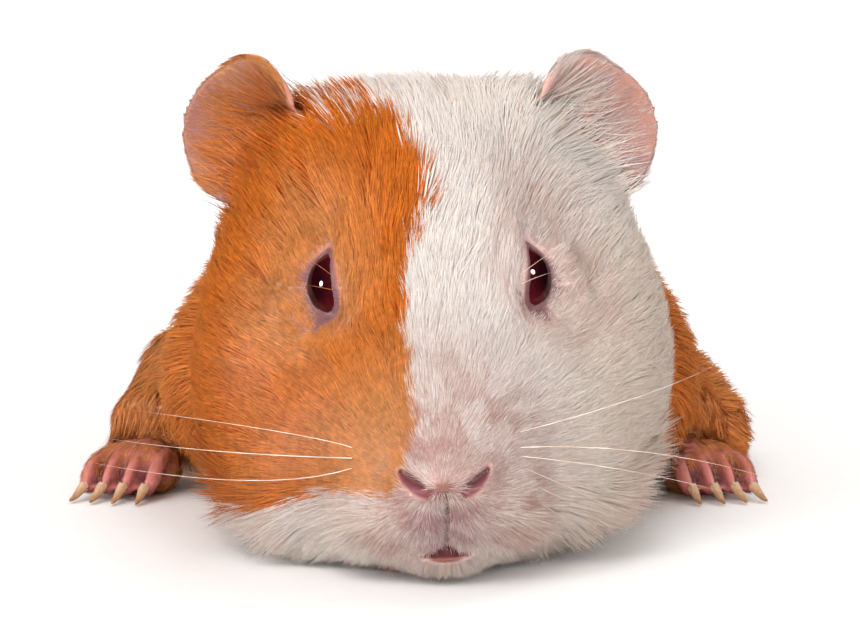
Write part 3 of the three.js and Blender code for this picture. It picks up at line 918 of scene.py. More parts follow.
@dataclass(frozen=True)
class HornFinish(Finish):
    """Claw horn: cream at the root, browner at the tip, with faint length-wise grain."""

    name: str = "horn"
    root: str = "#E3C3A4"
    tip: str = "#A9794F"
    fixed: ClassVar[dict[str, object]] = {
        "Subsurface Weight": 0.2,
        "Subsurface Radius": (1.0, 0.6, 0.4),
        "Subsurface Scale": 0.6 * MM,
    }

    def wire(self, wiring: Wiring) -> dict[str, Socket]:
        """Shades the claw along its length."""
        grain = wiring.noise(0.5, 3.0, (1.6, 0.5, 1.0))
        share = wiring.math("ADD", wiring.spread(grain, 0.3, 0.7, -0.2, 0.2), wiring.painted("along"))
        share = wiring.spread(share, 0.0, 1.0, 0.0, 1.0)
        return {
            "Base Color": wiring.mix(share, tone(self.root), tone(self.tip)),
            "Normal": wiring.relief(grain, 0.05),
            "Roughness": wiring.spread(grain, 0.3, 0.7, 0.28, 0.4),
        }


@dataclass(frozen=True)
class WhiskerFinish(Finish):
    """Stiff pale hair with a soft gloss, orange over the right eye."""

    name: str = "whisker_hair"
    colour: str = "#F2E6DC"
    shade: str = "#D8B79A"
    orange: str = "#C8732C"

    def wire(self, wiring: Wiring) -> dict[str, Socket]:
        """Bands the hair faintly."""
        bands = wiring.noise(3.0, 1.0)
        pale = wiring.mix(wiring.spread(bands, 0.35, 0.65, 0.0, 1.0), tone(self.colour), tone(self.shade))
        return {
            "Base Color": wiring.mix(wiring.painted("warm"), pale, tone(self.orange)),
            "Roughness": wiring.spread(bands, 0.3, 0.7, 0.3, 0.4),
        }


@dataclass(frozen=True)
class BackdropFinish(Finish):
    """Matt paper, almost white."""

    name: str = "pale_paper"
    colour: str = "#F4F3F1"
    fibre: str = "#D8D6D2"
    fixed: ClassVar[dict[str, object]] = {"Specular IOR Level": 0.1}

    def wire(self, wiring: Wiring) -> dict[str, Socket]:
        """Lays faint fibres in the paper."""
        fibres = wiring.noise(6.0, 3.0)
        share = wiring.spread(fibres, 0.3, 0.7, 0.0, 0.06)
        return {
            "Base Color": wiring.mix(share, tone(self.colour), tone(self.fibre)),
            "Roughness": wiring.spread(fibres, 0.3, 0.7, 0.85, 0.95),
        }


# ---- Skin -------------------------------------------------------------------------------------------

FLESH = [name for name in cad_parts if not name.startswith(("eye_", "foreclaw_", "hindclaw_"))]


@dataclass
class Skin:
    """One skin over all the nodes of flesh, which lies inside them by the coat's depth."""

    gap: float = 0.3  # between neighbouring solids
    swell: float = 0.72  # in gaps, to close them
    voxel: float = 0.5
    smoothing: int = 26
    triangles: int = 136_000
    lid_from: float = 1.1  # in reaches of the eye's opening
    lid_to: float = 1.75
    lid_rise: float = 0.4
    toe_groove: float = 1.3
    least_height: float = 0.02  # of the skin over the floor
    head_depth: tuple = ((8, 14, 26, 45, 65), (0.1, 0.4, 0.9, 1.5, 2.2))  # by the way from the nose
    face: Face = Face()
    markings: Markings = Markings()
    complexion: Complexion = Complexion()

    def __post_init__(self) -> None:
        """Starts with nothing built."""
        self.object: bpy.types.Object | None = None
        self.site: Site | None = None

    def build(self) -> bpy.types.Object:
        """Makes the skin.

        Returns:
            The skin's object, with a place for each rule of the coat in self.site.
        """
        mesh = self.thin(self.clean(self.cast()))
        self.object = place("skin", mesh)
        self.refine(mesh)
        self.close(mesh)
        self.site = self.survey(mesh)
        crease_shade = self.sculpt(mesh)
        self.sink(mesh)
        rules = ("orange", "flush", "dusk", "cream")
        self.marks = {name: getattr(self.markings, name)(self.site) for name in rules}
        orange, flush, dusk, _ = self.marks.values()
        write(mesh, "tone", self.complexion.paint(self.site, orange, flush, dusk, crease_shade))
        mesh.shade_smooth()
        log.info("skin: %d triangles", sum(len(face.vertices) - 2 for face in mesh.polygons))
        return self.object

    def cast(self) -> bpy.types.Mesh:
        """Joins the nodes of flesh over their gaps and covers them with one even mesh."""
        cover = place("cast", joined(FLESH, self.swell * self.gap)[0])
        modifier = cover.modifiers.new("even", "REMESH")
        modifier.mode = "VOXEL"
        modifier.voxel_size = self.voxel * MM
        return settle(cover)

    def clean(self, mesh: bpy.types.Mesh) -> bpy.types.Mesh:
        """Keeps the largest part and smooths away the facets, least where the shape is fine."""
        net = Net(mesh)
        keep = net.largest()
        points = places(mesh)
        share = 0.5 * (1 - 0.85 * self.fineness(points))
        move(mesh, net.blur(points, self.smoothing, share))
        if not keep.all():
            shape = bmesh.new()
            shape.from_mesh(mesh)
            scraps = [point for point, kept in zip(shape.verts, keep) if not kept]
            bmesh.ops.delete(shape, geom=scraps, context="VERTS")
            shape.to_mesh(mesh)
            shape.free()
        return mesh

    def fineness(self, points: Array) -> Array:
        """1 at the eyes, nose, mouth, ears and paws, where the shape is fine, and 0 elsewhere."""
        straight = self.face.head.straight(points)
        fine = bump(np.hypot(straight[:, 0], straight[:, 2] - 10), 0, 8) * ramp(-straight[:, 1], 104, 110)
        for eye in self.face.eyes():
            fine = np.maximum(fine, bump(np.linalg.norm(points - eye.centre, axis=1), 5.5, 2.5))
        for low, high in boxes("ear_", "forepaw", "hindpaw"):
            out = np.maximum(np.maximum(low - points, points - high), 0)
            fine = np.maximum(fine, bump(np.linalg.norm(out, axis=1), 0, 1.5))
        return fine

    def thin(self, mesh: bpy.types.Mesh) -> bpy.types.Mesh:
        """Takes out points where the shape is plain, down to the wanted count of triangles."""
        rough = place("rough", mesh)
        group = rough.vertex_groups.new(name="plain")
        plain = 1 - self.fineness(places(mesh))
        steps = 8
        for step in range(1, steps + 1):
            chosen = np.flatnonzero(np.round(plain * steps) == step)
            group.add(chosen.tolist(), step / steps, "REPLACE")
        modifier = rough.modifiers.new("thin", "DECIMATE")
        modifier.ratio = self.triangles / (2 * len(mesh.polygons))
        modifier.vertex_group = "plain"
        modifier.vertex_group_factor = 1.0
        return settle(rough)

    def refine(self, mesh: bpy.types.Mesh) -> None:
        """Splits the edges of the nose, the mouth and the lids once more."""
        points = places(mesh)
        straight = self.face.head.straight(points)
        near = np.hypot(straight[:, 0] / 8.5, (straight[:, 2] - 10) / 7.5) < 1
        fine = near & (straight[:, 1] < -108)
        for eye in self.face.eyes():
            away = np.linalg.norm(points - eye.centre, axis=1)
            fine |= (away < 9) & (np.abs(eye.reach(points, eye.hole) - 1.15) < 0.35)
        for low, high in boxes("forepaw"):
            fine |= ((points > low - 0.5) & (points < high + 0.5)).all(axis=1) & (points[:, 2] > 1)
        shape = bmesh.new()
        shape.from_mesh(mesh)
        chosen = [edge for edge in shape.edges if fine[edge.verts[0].index] and fine[edge.verts[1].index]]
        bmesh.ops.subdivide_edges(shape, edges=chosen, cuts=1, use_grid_fill=True)
        bmesh.ops.triangulate(shape, faces=shape.faces)
        shape.to_mesh(mesh)
        shape.free()

    def close(self, mesh: bpy.types.Mesh) -> None:
        """Draws the edge of each socket in over the ball, to where the lids open."""
        points, facing = places(mesh), normals(mesh)
        self.walls = np.zeros(len(points), bool)
        for eye in self.face.eyes():
            way = points - eye.centre
            away = np.linalg.norm(way, axis=1)
            local = eye.local(points)
            around = np.arctan2(local[:, 1], local[:, 0])
            angle = np.arccos(np.clip(local[:, 2] / away, -1, 1))
            rings = (eye.lids, eye.hole)
            lids, hole = (np.arcsin(np.clip(ring.edge(around, eye.side), 0, 0.97)) for ring in rings)
            near = (1 - ramp(angle / hole, 1.02, 1.6)) * (1 - ramp(away, 6.5, 12))
            angle = angle * (1 - (1 - lids / hole) * near)
            flat = away * np.sin(angle)
            local = np.stack([flat * np.cos(around), flat * np.sin(around), away * np.cos(angle)], 1)
            self.walls |= (np.sum(facing * way, 1) < -0.3 * away) & (away < 1.3 * eye.radius)
            points = self.lid(eye.world(local), eye)
        move(mesh, points)

    def survey(self, mesh: bpy.types.Mesh) -> Site:
        """Finds each point's node by the nearest face, and how far it belongs to each zone."""
        corners: list[Vector] = []
        faces: list[tuple[int, ...]] = []
        owner: list[int] = []
        for index, name in enumerate(FLESH):
            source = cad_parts[name].data
            start = len(corners)
            corners.extend(point.co.copy() for point in source.vertices)
            faces.extend(tuple(start + one for one in face.vertices) for face in source.polygons)
            owner.extend([index] * len(source.polygons))
        tree = BVHTree.FromPolygons(corners, faces)
        node = np.array([owner[tree.find_nearest(point.co)[2]] for point in mesh.vertices])
        net = Net(mesh)
        shares = {}
        for zone in Zone:
            own = [index for index, name in enumerate(FLESH) if name.startswith(zone.value)]
            shares[zone] = net.blur(np.isin(node, own).astype(float), 4)
        return Site(places(mesh), normals(mesh), FLESH, node, shares, self.face)

    def sculpt(self, mesh: bpy.types.Mesh) -> Array:
        """Cuts the nostrils, the cleft and the mouth, and rounds the wings and lips beside them.

        Args:
            mesh: The skin, whose points move.

        Returns:
            How deep in a nostril, the cleft, the mouth or a toe groove each point is, 0 to 1, for painted
            shade.
        """
        site = self.site
        x, y, z = site.straight.T
        flat = np.stack([np.abs(x), z], 1)
        ahead = ramp(-y, 106, 109) * site.head
        slit, along = from_line(flat, self.face.nostril)
        width = 0.25 + 0.4 * np.sin(np.pi * np.clip(along * 0.8 + 0.1, 0, 1))
        nostril = np.exp(-((slit / width) ** 2)) * ahead
        cleft_away, _ = from_line(flat, self.face.cleft)
        cleft = bump(cleft_away, 0, 0.5 - 0.2 * ramp(z, 6, 11)) * ahead
        mouth_away, _ = from_line(site.straight[:, [0, 2]], self.face.mouth)
        mouth = bump(mouth_away, 0, 0.5) * ahead
        out = flat[:, 0]
        wing = bump(np.hypot((out - 4.6) / 2.6, (z - 15.9 - 0.2 * (out - 4.6)) / 1.1), 0, 1.0) * ahead
        pads = bump(np.hypot((out - 2.9) / 2.6, (z - 9.0) / 2.6), 0, 1.0) * ahead
        gape = self.face.gape(site.straight) * ahead
        back = 1.1 * nostril + 0.7 * cleft + 0.7 * mouth + 0.9 * gape - 0.3 * wing - 0.5 * pads
        moved = site.straight.copy()
        moved[:, 1] += back
        moved = self.face.head.turned(moved)
        groove = self.grooves() * site.shares[Zone.PAWS]
        move(mesh, moved - site.normals * (self.toe_groove * groove)[:, None])
        # The creases' depth, which the skin's colour darkens as painted shade.
        return np.clip(0.8 * nostril + 0.75 * cleft + 0.4 * mouth + 0.85 * gape + groove, 0, 1)

    def grooves(self) -> Array:
        """1 along the middle of each groove between two toes, fading to 0 beside it."""
        points = self.site.points
        groove = np.zeros(len(points))
        for paw, toes, turn in (("foreclaw", 4, 18), ("hindclaw", 3, 12)):
            for side, name in ((1, "left"), (-1, "right")):
                boxes = [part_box(f"{paw}_{name}_{toe}") for toe in range(1, toes + 1)]
                tips = sorted(tuple((np.array(low) + np.array(high))[:2] / 2 / MM) for low, high in boxes)
                back = np.array([-side * math.sin(math.radians(turn)), math.cos(math.radians(turn))])
                for one, other in zip(tips[:-1], tips[1:]):
                    front = (np.array(one) + np.array(other)) / 2
                    ends = [tuple(front - 2 * back), tuple(front + 8 * back)]
                    away, along = from_line(points[:, :2], ends)
                    groove = np.maximum(groove, bump(away, 0, 0.85) * (1 - ramp(along, 0.55, 1.0)))
        return groove * ramp(self.site.normals[:, 2], -0.5, 0.1)

    def depth(self) -> Array:
        """How thick the coat is over each point."""
        site = self.site
        head = np.interp(site.from_nose, *self.head_depth)
        thick = site.blend(head=head, ears=0.12, trunk=3.0, forearms=1.1, paws=0.12)
        bare = np.maximum.reduce([site.pad, site.lips, 1 - ramp(site.eye_bald, 1.0, 1.7)])
        near_floor = ramp(site.points[:, 2], 0.5, 6.0)
        thick = thick * (1 - bare) * (0.15 + 0.85 * near_floor)
        return Net(self.object.data).blur(thick, 6)

    def sink(self, mesh: bpy.types.Mesh) -> None:
        """Draws the skin in by the coat's depth, but not into an eye or under the floor."""
        site = self.site
        self.coat_depth = self.depth()
        points = places(mesh) - site.normals * self.coat_depth[:, None]
        for eye in self.face.eyes():
            points = self.lid(points, eye)
        points[:, 2] = np.maximum(points[:, 2], self.least_height)
        move(mesh, points)

    def lid(self, points: Array, eye: EyeSocket) -> Array:
        """Draws the skin round an eye on to the ball, with a rounded rim at the edge of its opening."""
        way = points - eye.centre
        away = np.linalg.norm(way, axis=1)
        reach = eye.reach(points)
        ahead = eye.local(points)[:, 2] > 0.1 * eye.radius
        hug = np.where(ahead, 1 - ramp(reach, self.lid_from, self.lid_to), 0.0)
        target = eye.radius + self.lid_rise * ramp(reach, 0.95, 1.12)
        drawn = away + hug * (target - away)
        drawn = np.where((drawn < eye.radius + 0.15) & (reach > 1.0), eye.radius + 0.15, drawn)
        drawn = np.where(self.walls & (away < 1.3 * eye.radius), eye.radius - 0.3, drawn)
        return eye.centre + way / away[:, None] * drawn[:, None]

    def dress(self) -> None:
        """Gives the skin its finish and its place in the frame."""
        self.object.data.materials.clear()
        self.object.data.materials.append(SkinFinish().make())
        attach(self.object, BODY)
        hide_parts(*FLESH)


# ---- Coat -------------------------------------------------------------------------------------------


class Patch(Enum):
    """The pieces of the coat."""

    MUZZLE = 0
    FACE_LEFT = 1
    FACE_RIGHT = 2
    CROWN = 3
    CHEEKS = 4
    NAPE = 5
    EARS = 6
    SHOULDERS = 7
    TORSO = 8
    RUMP = 9
    LEGS = 10


class Draw(Enum):
    """The seed of each random draw."""

    CLUMPS = 3
    LEAN = 31  # and the two after it
    STRAY = 41  # and the two after it
    REACH = 51
    BREADTH = 52
    RISE = 53
    ROLL = 54
    OWN_SHADE = 55
    CLUMP_SHADE = 56
    TINT = 57


LOCK_POINTS = 7
LOCK_TRIANGLES = 5


@dataclass
class Coat:
    """The fur: where it grows, how long and thick it is, and which way it lies."""

    skin: Skin
    cover_head: float = 9.4  # layers of hair over each other
    cover_body: float = 7.3
    clump_size: float = 2.4
    patch_size: float = 0.003  # of each lock on the unwrap
    sunk: float = 0.2  # how deep a root is in the skin
    off_floor: float = 0.15
    seed: int = 5
    lean: float = 0.16  # how far a clump turns from the lie of the coat
    stray: float = 0.1  # and a lock from its clump
    spread: tuple = ((Draw.REACH, 0.65, 1.12), (Draw.BREADTH, 0.7, 1.25), (Draw.RISE, 0.5, 1.08))
    roll: float = 0.8
    own_shade: float = 0.6  # a lock's share of its shade; the rest is its clump's
    mingle: float = 0.28  # how far the two colours mix at an edge

    # Curves over the way from the nose, the way up the ear or the way back from the palm.
    head_length: tuple = ((8, 14, 24, 36, 50, 66), (1.5, 2.4, 4.2, 6.2, 8.4, 11.0))
    ear_length: tuple = ((3, 7, 12), (9.0, 5.0, 2.4))
    paw_length: tuple = ((-6, 1, 7), (5.0, 3.4, 1.4))
    head_width: tuple = ((8, 15, 35, 60), (0.09, 0.12, 0.16, 0.2))
    paw_width: tuple = ((-6, 4), (0.14, 0.09))
    head_cover: tuple = ((9, 20), (0.5, 1.0))
    ear_cover: tuple = ((3, 7, 12), (4.8, 1.4, 0.7))
    paw_cover: tuple = ((-6, 1, 6), (6.0, 2.2, 0.1))
    head_pull: tuple = ((10, 30), (0.04, 0.22))

    def __post_init__(self) -> None:
        """Starts with nothing grown."""
        self.pieces: list[bpy.types.Object] = []

    def build(self) -> list[bpy.types.Object]:
        """Sows and combs each piece of the coat.

        Returns:
            The pieces' objects.
        """
        skin = self.skin.object
        rules = self.rules()
        for name, values in rules.items():
            write(skin.data, name, values)
        tree = self.plant()
        finish = FurFinish().make()
        for patch in Patch:
            bed = bpy.data.objects.new("bed", skin.data)
            bpy.context.scene.collection.objects.link(bed)
            mesh = drive(bed, tree, Patch=float(patch.value), Seed=self.seed + patch.value, Finish=finish)
            piece = place("coat_" + patch.name.lower(), mesh, finish)
            self.comb(mesh)
            self.pieces.append(piece)
            locks = len(mesh.vertices) // LOCK_POINTS
            log.info("%s: %d locks, %d triangles", piece.name, locks, locks * LOCK_TRIANGLES)
        for name in rules:
            skin.data.attributes.remove(skin.data.attributes[name])
        return self.pieces

    # -- Rules, one value for each point of the skin --

    def lie(self) -> Array:
        """The direction in which the coat lies."""
        site = self.skin.site
        straight = site.straight
        away = unit(site.points - site.face.nose)
        hand = np.sign(straight[:, 0])
        crown = bump(straight[:, 0], 3, 12) * ramp(straight[:, 2], 44, 58) * ramp(-straight[:, 1], 66, 84)
        head = away + crown[:, None] * np.array([-0.4, 0, 0.1])
        parting = bump(np.hypot(straight[:, 0], straight[:, 2] - 48), 0, 7) * ramp(-straight[:, 1], 80, 90)
        head = head + parting[:, None] * np.array([0.5, 0, 0])
        top, front = self.ear_roots()
        head = head + top[:, None] * np.stack([1.2 * hand, hand * 0 - 0.3, hand * 0 + 0.5], 1)
        head = head + front[:, None] * np.stack([1.5 * hand, hand * 0 - 0.2, hand * 0 + 0.4], 1)
        for eye in site.face.eyes():
            outward = eye.outward(site.points)
            near = 1 - ramp(eye.reach(site.points, bare=True), 1.3, 2.6)
            inward = np.minimum(np.sum(head * outward, 1), 0) * near
            head = head - 1.5 * inward[:, None] * outward - inward[:, None] * np.array([0, 0, 0.8])
        below = 1 - ramp(straight[:, 2], 2, 14)
        head = head + below[:, None] * np.array([0, 0.5, -0.25])
        side, out = np.sign(site.points[:, 0]), np.abs(site.points[:, 0])
        every = np.ones(len(away))
        back = np.stack([0.08 * side * ramp(out, 10, 40), every, -0.18 - 0.35 * ramp(out, 20, 45)], 1)
        arm = unit(np.stack([0.25 * side, -0.7 * every, -0.5 * every], 1))
        behind = ramp(site.points[:, 1], -76, -54)
        trunk = head * (1 - behind)[:, None] + back * behind[:, None]
        ear_root = site.face.head.turned([[0, -70, 48]])[0]
        ears = unit(site.points - ear_root)
        ways = {"head": trunk, "ears": ears, "trunk": trunk, "forearms": arm, "paws": arm}
        mixed = sum(site.shares[zone][:, None] * ways[zone.name.lower()] for zone in Zone)
        swirl = np.stack([Waver(11.0, seed)(site.points) for seed in (21, 22, 23)], 1)
        fine = np.stack([Waver(3.6, seed)(site.points) for seed in (24, 25, 26)], 1)
        mixed = unit(mixed) + 0.18 * swirl + 0.1 * fine
        flat = mixed - site.normals * np.sum(mixed * site.normals, 1, keepdims=True)
        return unit(flat)

    def ear_roots(self) -> tuple[Array, Array]:
        """How near each point of the head is to the top and to the front of where an ear begins."""
        mirrored = self.skin.site.straight.copy()
        mirrored[:, 0] = np.abs(mirrored[:, 0])
        top = bump(np.linalg.norm(mirrored - [17, -75, 58], axis=1), 0, 9)
        front = bump(np.linalg.norm(mirrored - [22, -78, 50], axis=1), 0, 11)
        return top, front

    def rules(self) -> dict[str, Array]:
        """Everything that the tree reads from the skin, by name. Lengths are in metres."""
        site = self.skin.site
        x, y, z = site.straight.T
        belly = 1 - ramp(site.points[:, 2], 3, 12)
        base = site.from_head
        palm = np.where(site.on("forepaw"), -38.0, 30.0) - site.points[:, 1]  # how far ahead of it
        arm = bump(np.abs(site.points[:, 0]), 44, 16) * bump(site.points[:, 1], -16, 34)
        under = ramp(-site.normals[:, 2], 0.15, 0.7) * site.head
        top, front = self.ear_roots()
        length = site.blend(
            head=np.interp(site.from_nose, *self.head_length),
            ears=np.interp(base, *self.ear_length),
            trunk=12.5 - 4.5 * belly - 4.0 * arm,
            forearms=6.5,
            paws=np.interp(palm, *self.paw_length),
        )
        width = site.blend(
            head=np.interp(site.from_nose, *self.head_width),
            ears=0.1,
            trunk=0.26 + 0.07 * ramp(site.points[:, 1], -10, 30),
            forearms=0.18,
            paws=np.interp(palm, *self.paw_width),
        )
        eye = ramp(site.eye_bald, 1.0, 1.9)
        jawline = bump(site.normals[:, 2], -0.35, 0.5) * (1 - ramp(z, 8, 16)) * site.head
        jawline = jawline * (0.3 + 0.7 * ramp(np.abs(x), 5, 11))
        length = length * (0.16 + 0.84 * eye + 0.25 * np.maximum(top, front) + 0.8 * jawline)
        mouth, _ = from_line(site.straight[:, [0, 2]], site.face.mouth)
        length = length * (1 - 0.6 * bump(mouth, 0, 3.0) * ramp(z, 3.5, 4.5) * site.head)
        width = width * (0.7 + 0.3 * eye)
        cover = site.blend(
            head=self.cover_head * np.interp(site.from_nose, *self.head_cover),
            ears=np.interp(base, *self.ear_cover),
            trunk=self.cover_body,
            forearms=6.4,
            paws=np.interp(palm, *self.paw_cover),
        )
        gape = site.face.gape(site.straight, 1.25) * site.head
        grows = ramp(site.eye_bald, 1.04, 1.28) * (1 - site.pad) * (1 - np.maximum(0.95 * site.lips, gape))
        grows = grows * (1 - 0.3 * site.tip)
        grows = grows * ramp(site.points[:, 2], 0.15, 0.8)
        down = ramp(-site.normals[:, 2], 0.8, 0.97) * (1 - ramp(site.points[:, 2], 0.5, 2.0))
        grows = grows * (1 - down)
        density = cover * grows / (width * length * 0.6)
        tuft = bump(x, -1.5, 5) * ramp(z, 54, 60) * ramp(-y, 66, 76)
        crown = ramp(z, 50, 60) * site.head * ramp(-y, 64, 76)
        muzzle = (1 - ramp(site.from_nose, 12, 26)) * site.head
        stand = 0.08 + 0.06 * crown + 0.1 * tuft + 0.15 * muzzle + 0.2 * under + 0.08 * top + 0.25 * front
        cling = 0.9 - 0.25 * crown - 0.15 * tuft - 0.3 * muzzle - 0.3 * under - 0.3 * top - 0.4 * front
        loose = np.maximum(jawline, 0.3 * site.shares[Zone.PAWS])
        stand, cling = stand + 0.4 * loose, cling - 0.4 * loose
        cling = np.clip(np.where(site.shares[Zone.EARS] > 0.5, 0.9, cling), 0.2, 1)
        least = site.blend(head=0.28, ears=0.2, trunk=0.5, forearms=0.4, paws=0.25)
        drawn = np.interp(site.from_nose, *self.head_pull)
        pull = site.blend(head=drawn, ears=0.2, trunk=0.24, forearms=0.24, paws=0.1)
        return {
            "lie": self.lie(),
            "reach": length * MM,
            "breadth": width * MM,
            "rise": np.maximum(self.skin.coat_depth, least) * MM,
            "pull": pull,
            "density": density / MM**2,
            "clumps": np.full(len(z), 1 / self.clump_size**2) / MM**2,
            **self.skin.marks,
            "stand": stand,
            "cling": cling,
            "part": self.parts(),
            "unwrap": self.unwrap(),
        }

    def parts(self) -> Array:
        """The number of the piece that each point belongs to."""
        site = self.skin.site
        x, y, z = site.straight.T
        head = site.on("head")
        part = np.full(len(x), Patch.NAPE.value)
        part[head & (y < -74)] = Patch.CHEEKS.value
        part[head & (y < -84) & (x >= 0)] = Patch.FACE_LEFT.value
        part[head & (y < -84) & (x < 0)] = Patch.FACE_RIGHT.value
        part[head & (z > 50) & (y < -64)] = Patch.CROWN.value
        part[head & (site.from_nose < 19)] = Patch.MUZZLE.value
        part[site.on("ear_")] = Patch.EARS.value
        for start, patch in (
            ("neck", Patch.NAPE),
            ("chest", Patch.SHOULDERS),
            ("foreleg_upper", Patch.SHOULDERS),
            ("torso", Patch.TORSO),
            ("rump", Patch.RUMP),
            ("hindleg_upper", Patch.RUMP),
            ("foreleg_lower", Patch.LEGS),
            ("forepaw", Patch.LEGS),
            ("hindpaw", Patch.LEGS),
        ):
            part[site.on(start)] = patch.value
        return part.astype(float)

    def unwrap(self) -> Array:
        """Where each point lies on an unwrap of the skin, 0 to 1 each way.

        The head is spread round its nose, the trunk rolled out round its length, and each ear and leg spread
        in a quarter of its own piece.
        """
        site = self.skin.site
        x, y, z = site.points.T
        way = unit(site.points - np.array([0, -85, 32]))
        bend = np.arccos(np.clip(-way[:, 1], -1, 1)) / np.pi
        spin = np.arctan2(way[:, 2], way[:, 0])
        head = 0.5 + 0.5 * bend[:, None] * np.stack([np.cos(spin), np.sin(spin)], 1)
        trunk = np.stack([0.5 + np.arctan2(x, z - 30) / (2 * np.pi), (y + 70) / 170], 1)
        quarter = np.stack([np.where(x > 0, 0.5, 0.0), np.where(site.normals[:, 1] > 0, 0.5, 0.0)], 1)
        across = np.abs(x) / 45
        ear = quarter + 0.5 * np.clip(np.stack([across, (z - 45) / 26], 1), 0, 1)
        hind = np.where(y > 0, 0.5, 0.0)
        centre = [np.where(x > 0, 43.0, -46.0), np.where(y > 0, 30.0, -36.0), np.full(len(x), 4.0)]
        centre = np.stack(centre, 1)
        out = unit(site.points - centre)
        turn = np.arctan2(out[:, 1], out[:, 0])
        lean = np.arccos(np.clip(out[:, 2], -1, 1)) / np.pi
        leg = np.stack([np.where(x > 0, 0.75, 0.25), hind + 0.25], 1)
        leg = leg + 0.25 * lean[:, None] * np.stack([np.cos(turn), np.sin(turn)], 1)
        part = self.parts()
        flat = head
        rolled = (Patch.SHOULDERS, Patch.TORSO, Patch.RUMP)
        for patches, spots in (((Patch.EARS,), ear), (rolled, trunk), ((Patch.LEGS,), leg)):
            here = np.isin(part, [patch.value for patch in patches])
            flat = np.where(here[:, None], spots, flat)
        return np.concatenate([np.clip(flat, 0, 1), np.zeros((len(x), 1))], 1)

    # -- The tree that sows locks and bends them on to the skin --

    def plant(self) -> bpy.types.NodeTree:
        """Writes the tree, whose inputs are the skin, the number of a piece, a seed and a finish."""
        tree = bpy.data.node_groups.new("coat", "GeometryNodeTree")
        wiring = Wiring(tree)
        given = wiring.doors("Skin", Patch="Float", Seed="Int", Finish="Material")
        sown = {"Points": self.sow(wiring, given), "Instance": self.blade(wiring)}
        locks = wiring.get("GeometryNodeInstanceOnPoints", sown)
        locks = wiring.get("GeometryNodeRealizeInstances", {"Geometry": locks})
        wiring.finish(self.bend(wiring, given["Skin"], locks), given["Finish"])
        return tree

    @staticmethod
    def blade(wiring: Wiring) -> Socket:
        """One lock before it is bent: a flat blade of three steps that comes to a point."""
        size = {"Size X": 1.0, "Size Y": 1.0, "Vertices X": 2, "Vertices Y": 4}
        flat = wiring.get("GeometryNodeMeshGrid", size)
        here = wiring.add("ShaderNodeSeparateXYZ", {0: wiring.get("GeometryNodeInputPosition")})
        along = wiring.math("ADD", here.outputs[1], 0.5)
        taper = wiring.math("SUBTRACT", 1.0, wiring.math("POWER", along, 2.2))
        flat = wiring.store(flat, "along", along)
        flat = wiring.store(flat, "across", wiring.math("MULTIPLY", here.outputs[0], taper))
        spot = wiring.row(wiring.attribute("across"), wiring.attribute("along"))
        moved = wiring.get("GeometryNodeSetPosition", {"Geometry": flat, "Position": spot})
        return wiring.get("GeometryNodeMergeByDistance", {"Geometry": moved, "Distance": 0.01})

    def sow(self, wiring: Wiring, given: bpy.types.bpy_prop_collection) -> Socket:
        """Scatters the roots and gives each lock its own length, width, way and shade."""
        skin = given["Skin"]
        belongs = wiring.math("COMPARE", wiring.attribute("part"), given["Patch"], 0.1)
        density = wiring.math("MULTIPLY", wiring.attribute("density"), belongs)
        roots = wiring.scatter(skin, density, given["Seed"])
        centres = wiring.scatter(skin, wiring.attribute("clumps"), Draw.CLUMPS.value)
        centres = wiring.out(centres, "Points")
        here = wiring.get("GeometryNodeInputPosition")
        nearest = {"Geometry": centres, "Sample Position": here}
        nearest = wiring.get("GeometryNodeSampleNearest", nearest, domain="POINT")
        middle = {"Geometry": centres, "Value": here, "Index": nearest}
        middle = wiring.get("GeometryNodeSampleIndex", middle, data_type="FLOAT_VECTOR", domain="POINT")
        lie = wiring.attribute("lie", "FLOAT_VECTOR")
        lean = wiring.chances(self.lean, Draw.LEAN.value, nearest)
        stray = wiring.chances(self.stray, Draw.STRAY.value)
        way = wiring.vector("NORMALIZE", wiring.total(lie, lean, stray))
        reach, breadth, rise = (
            wiring.math("MULTIPLY", wiring.attribute(draw.name.lower()), wiring.chance(low, high, draw.value))
            for draw, low, high in self.spread
        )
        own = wiring.math("MULTIPLY", wiring.chance(0.0, 1.0, Draw.OWN_SHADE.value), self.own_shade)
        shared = wiring.chance(0.0, 1.0, Draw.CLUMP_SHADE.value, nearest)
        shared = wiring.math("MULTIPLY", shared, 1 - self.own_shade)
        mingled = wiring.chance(-self.mingle, self.mingle, Draw.TINT.value)
        chosen = wiring.math("ADD", wiring.attribute("orange"), mingled)
        ahead = wiring.vector("ADD", here, wiring.times(way, wiring.math("MULTIPLY", reach, 0.6)))
        swing = wiring.vector("SUBTRACT", wiring.under(skin, lie, ahead), lie)
        points = wiring.out(roots, "Points")
        # This order stays: the swing reads "reach" again, and by then it is the lock's own.
        for name, value, kind in (
            ("root", here, "FLOAT_VECTOR"),
            ("out", wiring.out(roots, "Normal"), "FLOAT_VECTOR"),
            ("toward", wiring.vector("SUBTRACT", middle, here), "FLOAT_VECTOR"),
            ("way", way, "FLOAT_VECTOR"),
            ("reach", reach, "FLOAT"),
            ("breadth", breadth, "FLOAT"),
            ("rise", rise, "FLOAT"),
            ("roll", wiring.chance(-self.roll, self.roll, Draw.ROLL.value), "FLOAT"),
            ("shade", wiring.math("ADD", own, shared), "FLOAT"),
            ("tint", wiring.math("GREATER_THAN", chosen, 0.5), "FLOAT"),
            ("swing", swing, "FLOAT_VECTOR"),
        ):
            points = wiring.store(points, name, value, kind)
        return points

